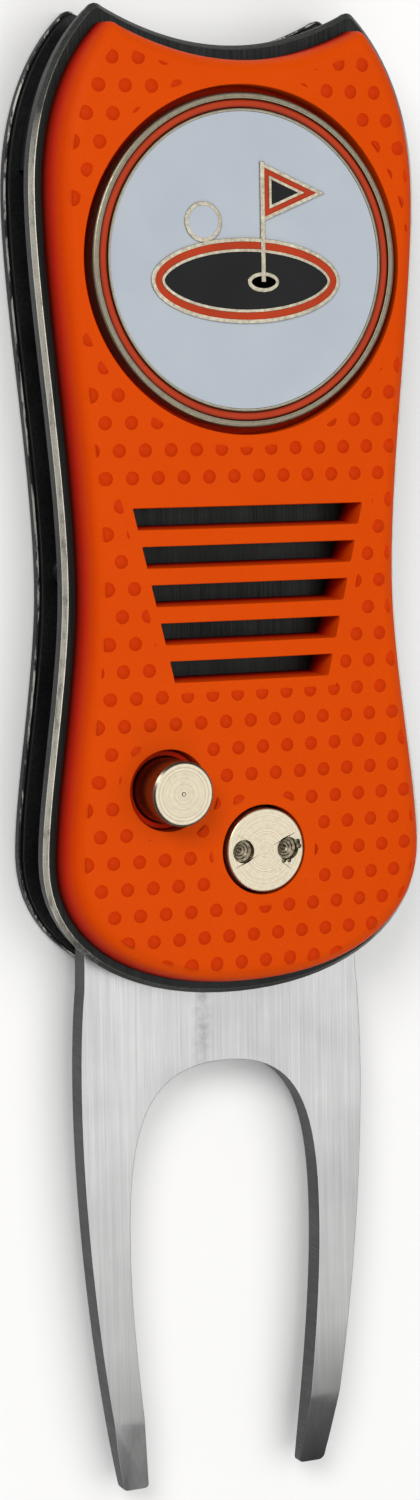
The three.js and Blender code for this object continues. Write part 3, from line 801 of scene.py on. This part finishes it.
shell = {
    # height below the face, inset at the sides, inset at the horns
    "levels": [(3.4, 0.9, 1.2), (2.4, 1.06, 1.27), (1.3, 1.3, 1.35), (1.05, 1.36, 1.4), (0.8, 1.47, 1.5),
        (0.6, 1.6, 1.62), (0.42, 1.75, 1.78), (0.26, 1.95, 1.98), (0.13, 2.18, 2.2), (0.04, 2.42, 2.42),
        (0.0, 2.7, 2.7)],
    "recessRadius": 13.03,
    "recessDepth": 1.9,
    "magnetBore": 4.05,
    "pivotHole": 3.46,
    "buttonHole": 3.11,
    "slotTop": 20.06,
    "slotPitch": 2.89,
    "slotHeight": 1.64,
    "slotHalfWidth": 9.6,
    "slotTaper": 0.239,
    "slotDraft": 0.3,
    "slotCount": 5,
    "rimEase": 0.1,
    "crownRadius": 170.0,
    "stripsEachSide": 6,
    "stripWidth": 2.3,
    "cageWidth": 40,
    "cageLength": 100,
}
dots = {
    "pitch": 2.06,
    "firstRow": 53.2,
    "evenStart": -14.72,
    "oddStart": -15.78,
    "radius": 0.54,
    "height": 0.2,
    "sideMargin": 2.2,
    "hornMargin": 2.8,
    "recessMargin": 14.0,
    "pivotMargin": 4.4,
    "buttonMargin": 4.0,
    "slotMargin": 0.85,
    "perRow": 16,
    "rows": 17,
    "rootDepth": 0.06,
}

shellLevels = [(handleOutline(side, horn), shellTop - drop) for drop, side, horn in shell["levels"]]
shellPiece = stackedSolid("front_shell_piece", shellLevels, 20)


def slotBlock(high, low, bottom, top, sink=0.0, widen=0.0):
    # a block across the handle, its ends on the taper of the slots and its floor drawn in by the sink
    widest = shell["slotHalfWidth"] + widen - shell["slotTaper"] * (shell["slotTop"] - high)
    narrowest = widest - shell["slotTaper"] * (high - low)
    block = plainBlock((0, (high + low) / 2, (bottom + top) / 2), (2 * widest, high - low, top - bottom))
    selectPoints(block, lambda point: point.y < (high + low) / 2)
    bpy.ops.transform.resize(value=(narrowest / widest, 1, 1), center_override=(0, low, 0))
    endEdit()
    if sink:
        selectPoints(block, lambda point: point.z < (bottom + top) / 2)
        bpy.ops.transform.resize(value=(1 - sink / widest, 1 - 1.5 * sink / (high - low), 1),
            center_override=(0, (2 * high + low) / 3, bottom))
        endEdit()
    return block


recess = turnedPiece("recess", markerCentre, [
    (shell["magnetBore"], frontFrameTop - 1), (shell["magnetBore"], shellTop - shell["recessDepth"]),
    (shell["recessRadius"] - 0.12, shellTop - shell["recessDepth"]),
    (shell["recessRadius"], shellTop - shell["recessDepth"] + 0.12),
    (shell["recessRadius"], shellTop + 1)], 160)
combine(shellPiece, [
    recess,
    roundBar(pivotCentre, shell["pivotHole"], frontFrameTop - 1, shellTop + 1, 96),
    roundBar(buttonCentre, shell["buttonHole"], frontFrameTop - 1, shellTop + 1, 96)])
for step in range(shell["slotCount"]):
    slotHigh = shell["slotTop"] - step * shell["slotPitch"]
    slotLow = slotHigh - shell["slotHeight"]
    combine(shellPiece, [slotBlock(slotHigh, slotLow, frontFrameTop - 0.5, shellTop + 0.1,
        shell["slotDraft"])])
combine(shellPiece, screwBores(shellScrews, frontFrameTop - 1, 7.95))

# small radius round every opening in the face
startEdit(shellPiece, "EDGE")
bpy.ops.mesh.select_all(action="DESELECT")
bpy.ops.mesh.edges_select_sharp(sharpness=math.radians(40))
endEdit()
points = shellPiece.data.vertices
for edge in shellPiece.data.edges:
    edge.select = edge.select and all(points[i].co.z > shellTop - 0.002 for i in edge.vertices)
bpy.ops.object.mode_set(mode="EDIT")
bpy.ops.mesh.bevel(offset=shell["rimEase"], segments=2, affect="EDGES", clamp_overlap=False)
endEdit()
giveFinishes(shellPiece, shellOrange, dotOrange)


def dotRows(startX, firstY):
    dotSphere = (dots["radius"] ** 2 + dots["height"] ** 2) / (2 * dots["height"])
    clearSelection()
    middle = (startX, firstY, shellTop + dots["height"] - dotSphere)
    bpy.ops.mesh.primitive_uv_sphere_add(segments=12, ring_count=20, radius=dotSphere, location=middle)
    rows = settlePlace(bpy.context.object)
    startEdit(rows)
    bpy.ops.mesh.bisect(plane_co=(0, 0, shellTop - dots["rootDepth"]), plane_no=(0, 0, 1), use_fill=True,
        clear_inner=True)
    endEdit()
    repeated(rows, dots["perRow"], (dots["pitch"], 0, 0))
    return repeated(rows, dots["rows"], (0, -2 * dots["pitch"], 0))


evenRows = dotRows(dots["evenStart"], dots["firstRow"])
oddRows = dotRows(dots["oddStart"], dots["firstRow"] - dots["pitch"])
dotField = pickUp(evenRows, oddRows)
bpy.ops.object.join()
dotEdge = handleOutline(dots["sideMargin"], dots["hornMargin"])
dotArea = stackedSolid("dot_area", [(dotEdge, height) for height in (shellTop - 0.4, shellTop + 1)])
margin = dots["slotMargin"]
combine(dotArea, [
    roundBar(markerCentre, dots["recessMargin"], shellTop - 1, shellTop + 2, 160),
    roundBar(buttonCentre, dots["buttonMargin"], shellTop - 1, shellTop + 2, 64),
    slotBlock(shell["slotTop"] + margin, slotLow - margin, shellTop - 1, shellTop + 2, 0, margin)])
combine(dotArea, [roundBar(pivotCentre, dots["pivotMargin"], shellTop - 1, shellTop + 2, 64)])
combine(dotField, [dotArea], "INTERSECT")
dotField.data.materials.clear()
giveFinishes(dotField, shellOrange, dotOrange)
# the dots take the darker dot orange, painted shade
paintFaces(dotField, 1, lambda centre, normal: True)

# strips across the width, so that the face can take its crown
startEdit(shellPiece)
for step in range(-shell["stripsEachSide"], shell["stripsEachSide"] + 1):
    bpy.ops.mesh.select_all(action="SELECT")
    bpy.ops.mesh.bisect(plane_co=(step * shell["stripWidth"], 0, 0), plane_no=(1, 0, 0))
endEdit()
pickUp(shellPiece, dotField)
bpy.ops.object.join()

clearSelection()
bpy.ops.object.add(type="LATTICE", location=(0, 20, (frontFrameTop + shellTop) / 2))
crownCage = bpy.context.object
crownCage.scale = (shell["cageWidth"], shell["cageLength"], shellTop - frontFrameTop)
crownCage.data.points_u, crownCage.data.points_v, crownCage.data.points_w = 17, 2, 2
crownCage.data.interpolation_type_w = "KEY_LINEAR"
crownCage.data.interpolation_type_v = "KEY_LINEAR"
for corner in crownCage.data.points:
    if corner.co.z > 0:
        across = corner.co.x * shell["cageWidth"]
        sink = across * across / (2 * shell["crownRadius"])
        corner.co_deform.z = corner.co.z - sink / (shellTop - frontFrameTop)
applied(shellPiece, "LATTICE", object=crownCage)
bpy.data.objects.remove(crownCage, do_unlink=True)
finishPiece(shellPiece, "handle", [], ["front_shell"], 32)
print("shell is moulded")

# fork

forkSizes = {
    "centre": -0.4,
    "shoulderY": pivotCentre[1] - 1.25,
    "neckY": -17.0,
    "tipY": nodeSpan("fork")[0][1],
    "archY": -23.57,
    "hubRadius": 6.85,
    "slantStart": -51.6,
    "tipThickness": 1.0,
    "grindSize": (40, 12, 4),
    "collarReach": 16.0,
    "sweepDepth": 4,
    "edgeEase": 0.09,
}


def forkOutline():
    tip, shoulder = forkSizes["tipY"], forkSizes["shoulderY"]
    neck, arch = forkSizes["neckY"], forkSizes["archY"]
    left = [
        straightRun((0.0, shoulder), (-10.5, shoulder)),
        softCorner((-10.5, shoulder), (-11.5, shoulder), (-11.5, shoulder - 1)),
        straightRun((-11.5, shoulder - 1), (-11.7, neck)),
        ((-11.7, neck), (-12.3, -22.5), (-12.175, -29.75), (-11.6125, -37.011)),
        ((-11.6125, -37.011), (-11.05, -44.272), (-10.05, -51.544), (-8.9, tip + 0.4)),
        softCorner((-8.9, tip + 0.4), (-8.75, tip), (-8.3, tip)),
        straightRun((-8.3, tip), (-7.1, tip)),
        softCorner((-7.1, tip), (-6.6, tip), (-6.65, tip + 0.4)),
        ((-6.65, tip + 0.4), (-7.3, -51.5), (-8.2, -44.0), (-8.2, -37.6)),
        ((-8.2, -37.6), (-8.2, -28.0), (-6.6, arch), (0.0, arch)),
    ]
    runs = left + mirrored(left)
    return [tuple((x + forkSizes["centre"], y) for x, y in run) for run in runs]


forkPiece = stackedSolid("fork_piece", [(forkOutline(), forkBottom), (forkOutline(), forkTop)], 22)

# the sweep that the lock collar needs as the fork folds: a slab spun about the pivot, with a round end
reachX, reachY = buttonCentre[0] - pivotCentre[0], buttonCentre[1] - pivotCentre[1]
sweepStart = math.atan2(reachY, reachX) - math.pi
sweepMiddle = (forkSizes["collarReach"] + forkSizes["hubRadius"]) / 2
sweepX = pivotCentre[0] + sweepMiddle * math.cos(sweepStart)
sweepY = pivotCentre[1] + sweepMiddle * math.sin(sweepStart)
clearSelection()
bpy.ops.mesh.primitive_plane_add(size=1)
collarSweep = bpy.context.object
collarSweep.scale = (forkSizes["collarReach"] - forkSizes["hubRadius"], forkSizes["sweepDepth"], 1)
collarSweep.rotation_euler = (math.pi / 2, 0, sweepStart)
collarSweep.location = (sweepX, sweepY, (forkBottom + forkTop) / 2)
settlePlace(collarSweep)
startEdit(collarSweep)
bpy.ops.mesh.spin(steps=60, angle=-math.pi - 0.7, center=(*pivotCentre, 0), axis=(0, 0, 1))
endEdit()
closeAndFaceOut(collarSweep)
sweepEnd = (pivotCentre[0] - reachX, pivotCentre[1] - reachY)
combine(forkPiece, [collarSweep])
endRadius = math.hypot(reachX, reachY) - forkSizes["hubRadius"]
combine(forkPiece, [roundBar(sweepEnd, endRadius, forkBottom - 1, forkTop + 1, 48)])
combine(forkPiece, [roundBar(pivotCentre, forkSizes["hubRadius"], forkBottom, forkTop, 120)], "UNION")
combine(forkPiece, [roundBar(pivotCentre, plates["barrelBore"], forkBottom - 1, forkTop + 1, 64)])

# each prong is ground thinner towards its point, from the front
groundOff = forkTop - forkBottom - forkSizes["tipThickness"]
slant = math.atan(groundOff / (forkSizes["slantStart"] - forkSizes["tipY"]))
width, length, depth = forkSizes["grindSize"]
grindBlock = plainBlock((0, -length / 2, depth / 2), (width, length, depth))
grindBlock.rotation_euler = (slant, 0, 0)
grindBlock.location = (0, forkSizes["slantStart"], forkTop)
combine(forkPiece, [settlePlace(grindBlock)])
startEdit(forkPiece)
bpy.ops.mesh.dissolve_limited(angle_limit=math.radians(0.3))
endEdit()
easeEdges(forkPiece, forkSizes["edgeEase"], 45)
# the sides take the far darker steel, painted shade
paintFaces(forkPiece, 1, lambda centre, normal: abs(normal.z) < 0.6)
finishPiece(forkPiece, "fork", [forkFace, forkSide], ["fork"], 30)
print("fork is ground")

# pivot, button and their hardware

pivot = {
    "headRadius": 3.23,
    "shankRadius": 1.45,
    "holeRadius": 0.88,
    "holeSpacing": 3.75,
    "biteRadius": 0.24,
    "edgeEase": 0.035,
}
headTop = nodeSpan("pivot_screw")[1][2]
head, shank = pivot["headRadius"], pivot["shankRadius"]
pivotScrew = turnedPiece("pivot_screw_piece", pivotCentre, [
    (0.3, 2.4), (shank - 0.2, 2.4), (shank, 2.6), (shank, frontFrameTop),
    (head, frontFrameTop), (head, headTop - 0.14), (head - 0.05, headTop - 0.05),
    (head - 0.15, headTop), (0.42, headTop), (0.36, headTop - 0.015), (0.3, headTop), (0.05, headTop)], 128)


def spannerHole(side):
    # a drilled seat with a stepped, coned bottom
    centre = (pivotCentre[0] + side * pivot["holeSpacing"] / 2, pivotCentre[1])
    full = pivot["holeRadius"]
    return turnedPiece("spanner_hole", centre, [
        (0.06, headTop - 1.12), (0.2, headTop - 1.0), (0.22, headTop - 0.9), (0.4, headTop - 0.84),
        (0.42, headTop - 0.76),
        (0.62, headTop - 0.7), (0.64, headTop - 0.62), (full - 0.04, headTop - 0.56), (full, headTop - 0.5),
        (full, headTop + 0.5)], 48)


combine(pivotScrew, [spannerHole(-1), spannerHole(1)])
rightHole = (pivotCentre[0] + pivot["holeSpacing"] / 2, pivotCentre[1])
# the right seat is chewed where the spanner slipped
bites = [(0.80, 0.42, 1.0), (0.95, 0.12, 0.8), (-0.35, -0.86, 0.9), (0.10, -0.93, 0.7)]
for biteX, biteY, size in bites:
    bitePlace = (rightHole[0] + biteX, rightHole[1] + biteY)
    combine(pivotScrew, [roundBar(bitePlace, pivot["biteRadius"] * size, headTop - 0.35 * size, headTop + 1,
        10)])
easeEdges(pivotScrew, pivot["edgeEase"], 50)


def inSeat(centre, normal):
    away = math.hypot(centre.x - pivotCentre[0], centre.y - pivotCentre[1])
    return headTop - 1.3 < centre.z < headTop - 0.06 and away < head - 0.1


# the faces inside the seats take the darker steel, painted shade in the holes
paintFaces(pivotScrew, 1, inSeat)
finishPiece(pivotScrew, "handle", [pivotSteel, seatSteel], ["pivot_screw"])

pivotBarrel = turnedPiece("pivot_barrel_piece", pivotCentre, [
    (0.25, 0.05), (0.6, 0.0), (3.85, 0.0), (3.98, 0.08), (4.0, 0.14), (4.0, 0.8), (2.5, 0.8),
    (2.5, frontFrameTop - 0.2),
    (2.42, frontFrameTop - 0.1), (1.62, frontFrameTop - 0.1), (1.5, frontFrameTop - 0.2), (1.5, 2.2),
    (0.25, 2.1)], 96)
finishPiece(pivotBarrel, "handle", [pivotSteel], ["pivot_barrel"])

button = {"radius": 2.48, "underside": 8.15, "neckRadius": 1.0, "collarRadius": 2.2, "chamfer": 0.17}
cap, collar, neck = button["radius"], button["collarRadius"], button["neckRadius"]
chamfer = button["chamfer"]
underside = button["underside"]
collarLow, collarHigh = nodeSpan("release_button")[0][2], gapTop - 0.05
buttonPiece = turnedPiece("release_button_piece", buttonCentre, [
    (0.3, collarLow), (collar - 0.12, collarLow), (collar, collarLow + 0.12),
    (collar, collarHigh - 0.1), (collar - 0.1, collarHigh), (neck, collarHigh),
    (neck, underside), (cap - 0.15, underside), (cap, underside + 0.15),
    (cap, buttonTop - chamfer), (cap - 0.03, buttonTop - chamfer + 0.05),
    (cap - chamfer, buttonTop - 0.012), (cap - chamfer - 0.03, buttonTop),
    (0.2, buttonTop), (0.12, buttonTop - 0.05), (0.03, buttonTop - 0.06)], 128)
# the side faces take the darker steel, painted shade
paintFaces(buttonPiece, 1, lambda centre, normal: abs(normal.z) < 0.85)
finishPiece(buttonPiece, "button", [buttonSteel, buttonSide], ["release_button"])

bushPiece = turnedPiece("button_bush_piece", buttonCentre, [
    (2.58, frontFrameTop), (3.0, frontFrameTop), (3.0, frontFrameTop + 2.2), (2.92, frontFrameTop + 2.3),
    (2.66, frontFrameTop + 2.3),
    (2.58, frontFrameTop + 2.22), (2.58, frontFrameTop)], 96)
finishPiece(bushPiece, "handle", [bushPolymer], ["button_bush"])

coil = {"radius": 1.8, "wire": 0.2, "turns": 3.5, "gap": 0.05, "pressedShare": 0.36}
coilLow, coilHigh = frontLinerTop + coil["wire"] + coil["gap"], underside - coil["wire"] - coil["gap"]
clearSelection()
bpy.ops.mesh.primitive_circle_add(vertices=12, radius=coil["wire"], fill_type="NOTHING")
coilPiece = nameIt(bpy.context.object, "button_spring_piece")
coilPiece.rotation_euler = (math.pi / 2, 0, 0)
coilPiece.location = (coil["radius"], 0, 0)
settlePlace(coilPiece)
coilSteps = int(32 * coil["turns"])
applied(coilPiece, "SCREW", axis="Z", angle=coil["turns"] * 2 * math.pi, screw_offset=coilHigh - coilLow,
    steps=coilSteps, render_steps=coilSteps)
closeAndFaceOut(coilPiece)
coilPiece.location = (*buttonCentre, coilLow)
settlePlace(coilPiece)
finishPiece(coilPiece, "handle", [springWire], ["button_spring"])
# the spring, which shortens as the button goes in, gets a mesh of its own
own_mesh(coilPiece)

stopPin = turnedPiece("stop_pin_piece", stopPinCentre, [
    (1.05, rearFrameTop), (1.2, rearFrameTop + 0.12), (1.2, frontLinerTop - 0.12), (1.05, frontLinerTop)],
    64)
finishPiece(stopPin, "handle", [pinSteel], ["stop_pin"])
for level in ("lower", "upper"):
    centre = nodeCentre("side_pillar_" + level)
    pillar = turnedPiece("side_pillar_" + level + "_piece", centre, [
        (0.85, gapBottom), (1.12, gapBottom), (1.2, gapBottom + 0.08), (1.2, gapBottom + 0.9),
        (1.08, gapBottom + 1.0),
        (1.08, gapTop - 1.0), (1.2, gapTop - 0.9), (1.2, gapTop - 0.08), (1.12, gapTop), (0.85, gapTop),
        (0.85, gapBottom)], 64)
    finishPiece(pillar, "handle", [blackScrew], ["side_pillar_" + level])

screws = {"shank": 0.8, "head": 1.5, "headHeight": 0.65, "socket": 0.65, "socketDepth": 0.35}


def smallScrew(name, node):
    # cap head with a hex socket below, shank rising from it
    low, high = nodeSpan(node)
    centre = nodeCentre(node)
    step = low[2] + screws["headHeight"]
    screw = turnedPiece(name, centre, [
        (0.4, low[2]), (screws["head"] - 0.14, low[2]), (screws["head"], low[2] + 0.14),
        (screws["head"], step - 0.05), (screws["head"] - 0.05, step),
        (screws["shank"], step), (screws["shank"], high[2] - 0.2), (screws["shank"] - 0.2, high[2]),
        (0.2, high[2])], 48)
    combine(screw, [roundBar(centre, screws["socket"], low[2] - 1, low[2] + screws["socketDepth"], 6)])
    return screw


for names in (shellScrews, throughScrews):
    first = smallScrew(names[0] + "_piece", names[0])
    start = nodeCentre(names[0])
    twins = [first]
    for name in names[1:]:
        centre = nodeCentre(name)
        twins.append(copyOf(first, name + "_piece", (centre[0] - start[0], centre[1] - start[1], 0)))
    for twin, name in zip(twins, names):
        finishPiece(twin, "handle", [blackScrew], [name])
print("pivot, button and fasteners are turned")

# ball marker

wellFloor = coinTop - marker["wellDepth"]
rim, outer, inner, field = marker["radius"], marker["ringOuter"], marker["ringInner"], marker["fieldRadius"]
coin = turnedPiece("marker_coin_piece", markerCentre, [
    (0.3, coinBottom), (rim - 0.3, coinBottom), (rim - 0.1, coinBottom + 0.08), (rim, coinBottom + 0.3),
    (rim, coinTop - 0.2), (rim - 0.04, coinTop - 0.08), (rim - 0.13, coinTop - 0.01), (rim - 0.22, coinTop),
    (outer + 0.06, coinTop), (outer + 0.01, coinTop - 0.03), (outer, coinTop - 0.08), (outer, wellFloor),
    (inner, wellFloor), (inner, coinTop - 0.11), (inner - 0.03, coinTop - 0.06),
    (field + 0.03, coinTop - 0.06),
    (field, coinTop - 0.11), (field, wellFloor), (0.3, wellFloor)], 200)
finishPiece(coin, "marker", [coinNickel], ["marker_coin"])

ringLow, ringHigh, ringTop = inner + 0.01, outer - 0.01, wellFloor + marker["fill"]
ringMiddle = (ringLow + ringHigh) / 2
enamelRing = turnedPiece("marker_enamel_ring_piece", markerCentre, [
    (ringLow, wellFloor), (ringHigh, wellFloor), (ringHigh, ringTop - 0.06),
    (ringHigh - 0.07, ringTop - 0.01), (ringHigh - 0.18, ringTop + 0.03),
    (ringMiddle, ringTop + 0.05), (ringLow + 0.18, ringTop + 0.03), (ringLow + 0.07, ringTop - 0.01),
    (ringLow, ringTop - 0.06), (ringLow, wellFloor)], 200)
finishPiece(enamelRing, "marker", [ringEnamel], ["marker_enamel_ring"], 60)

fieldEdge = field - 0.01
rise = marker["meniscus"]
fieldTop = wellFloor + marker["fill"] - rise
enamelField = turnedPiece("marker_enamel_field_piece", markerCentre, [
    (0.3, wellFloor), (fieldEdge, wellFloor), (fieldEdge, fieldTop + rise),
    (fieldEdge - 0.12, fieldTop + 0.85 * rise),
    (fieldEdge - 0.35, fieldTop + 0.6 * rise), (fieldEdge - 0.7, fieldTop + 0.33 * rise),
    (fieldEdge - 1.2, fieldTop + 0.12 * rise), (fieldEdge - 2.0, fieldTop + 0.02 * rise),
    (fieldEdge - 3.4, fieldTop), (0.3, fieldTop)], 200)
finishPiece(enamelField, "marker", [whiteEnamel], ["marker_enamel_field"], 60)

# A flag on a green with a ball beside it, each shape a nickel outline round sunk enamel.
emblem = {
    "base": fieldTop - 0.15,
    "top": coinTop - 0.06,
    "line": 0.28,
    "sunk": 0.06,
    "stick": (0.38, 9.0, 0.06),  # width, length, eased edge
    "stickPlace": (1.4, 2.9),
    "stickProud": 0.05,
    # sides, radius, place, stretch and turn of each shape
    "green": (120, 1.0, (0.0, -1.5), (7.8, 3.2)),
    "pennant": (3, 2.75, (3.05, 5.1), (1.3, 0.95), -90),
    "ball": (72, 1.5, (-3.5, 2.85)),
    "cup": (60, 1.0, (1.4, -1.6), (1.3, 0.75)),
}


def enamelledShape(piece, name, band, inner, outer):
    # raises the flat shape, then sinks an enamel band and, inside a second nickel line, the inner enamel
    nameIt(piece, name)
    giveFinishes(piece, emblemNickel, outer, inner)
    startEdit(piece, "FACE")
    lift = emblem["top"] - emblem["base"]
    bpy.ops.mesh.extrude_region_move(TRANSFORM_OT_translate={"value": (0, 0, lift)})
    bpy.ops.mesh.inset(thickness=0.05, depth=0.03)
    bpy.ops.mesh.inset(thickness=emblem["line"] - 0.05)
    piece.active_material_index = 1
    bpy.ops.object.material_slot_assign()
    bpy.ops.mesh.inset(thickness=0.03, depth=-emblem["sunk"])
    if band:
        bpy.ops.mesh.inset(thickness=band)
        piece.active_material_index = 0
        bpy.ops.object.material_slot_assign()
        bpy.ops.mesh.inset(thickness=0.03, depth=emblem["sunk"])
        bpy.ops.mesh.inset(thickness=emblem["line"] * 0.7)
        piece.active_material_index = 2
        bpy.ops.object.material_slot_assign()
        bpy.ops.mesh.inset(thickness=0.03, depth=-emblem["sunk"])
    endEdit()
    return closeAndFaceOut(piece)


def flatShape(sides, radius, place, stretch=(1, 1), turn=0.0):
    clearSelection()
    bpy.ops.mesh.primitive_circle_add(vertices=sides, radius=radius, fill_type="NGON", location=(0, 0, 0))
    shape = bpy.context.object
    shape.rotation_euler = (0, 0, math.radians(turn))
    settlePlace(shape)
    shape.scale = (*stretch, 1)
    shape.location = (markerCentre[0] + place[0], markerCentre[1] + place[1], emblem["base"])
    return settlePlace(shape)


green = enamelledShape(flatShape(*emblem["green"]), "marker_green", 0.5, blackEnamel, bandEnamel)
pennant = enamelledShape(flatShape(*emblem["pennant"]), "marker_pennant", 0.34, blackEnamel, bandEnamel)
ball = enamelledShape(flatShape(*emblem["ball"]), "marker_ball", 0, whiteEnamel, whiteEnamel)
cup = enamelledShape(flatShape(*emblem["cup"]), "marker_cup", 0, blackEnamel, blackEnamel)
stickWidth, stickLength, stickEase = emblem["stick"]
stickTall = emblem["top"] - emblem["base"] + emblem["stickProud"]
stickX, stickY = emblem["stickPlace"]
stickMiddle = (markerCentre[0] + stickX, markerCentre[1] + stickY, emblem["base"] + stickTall / 2)
flagstick = easeEdges(plainBlock(stickMiddle, (stickWidth, stickLength, stickTall)), stickEase)
giveFinishes(flagstick, emblemNickel)
emblemPiece = pickUp(green, pennant, ball, cup, flagstick)
bpy.ops.object.join()
finishPiece(nameIt(emblemPiece, "marker_emblem"), "marker", [], (), 40)

magnet = turnedPiece("marker_magnet_piece", markerCentre, [
    (0.3, frontFrameTop), (4.0, frontFrameTop), (4.0, coinBottom - 0.1), (3.95, coinBottom - 0.03),
    (3.86, coinBottom), (0.3, coinBottom)], 96)
finishPiece(magnet, "handle", [magnetPlate], ["marker_magnet"])
print("marker is enamelled")

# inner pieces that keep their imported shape

for name, finish in (("rear_washer", bronze), ("front_washer", bronze), ("opening_spring", springWire)):
    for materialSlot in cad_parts[name].material_slots:
        materialSlot.material = finish

# floor

clearSelection()
bpy.ops.mesh.primitive_plane_add(size=3.0, location=(0, 0, 0))
floor = nameIt(bpy.context.object, "studio_floor")
startEdit(floor)
bpy.ops.mesh.subdivide(number_cuts=3)
endEdit()
giveFinishes(floor, floorPaper)

print("everything is in place")
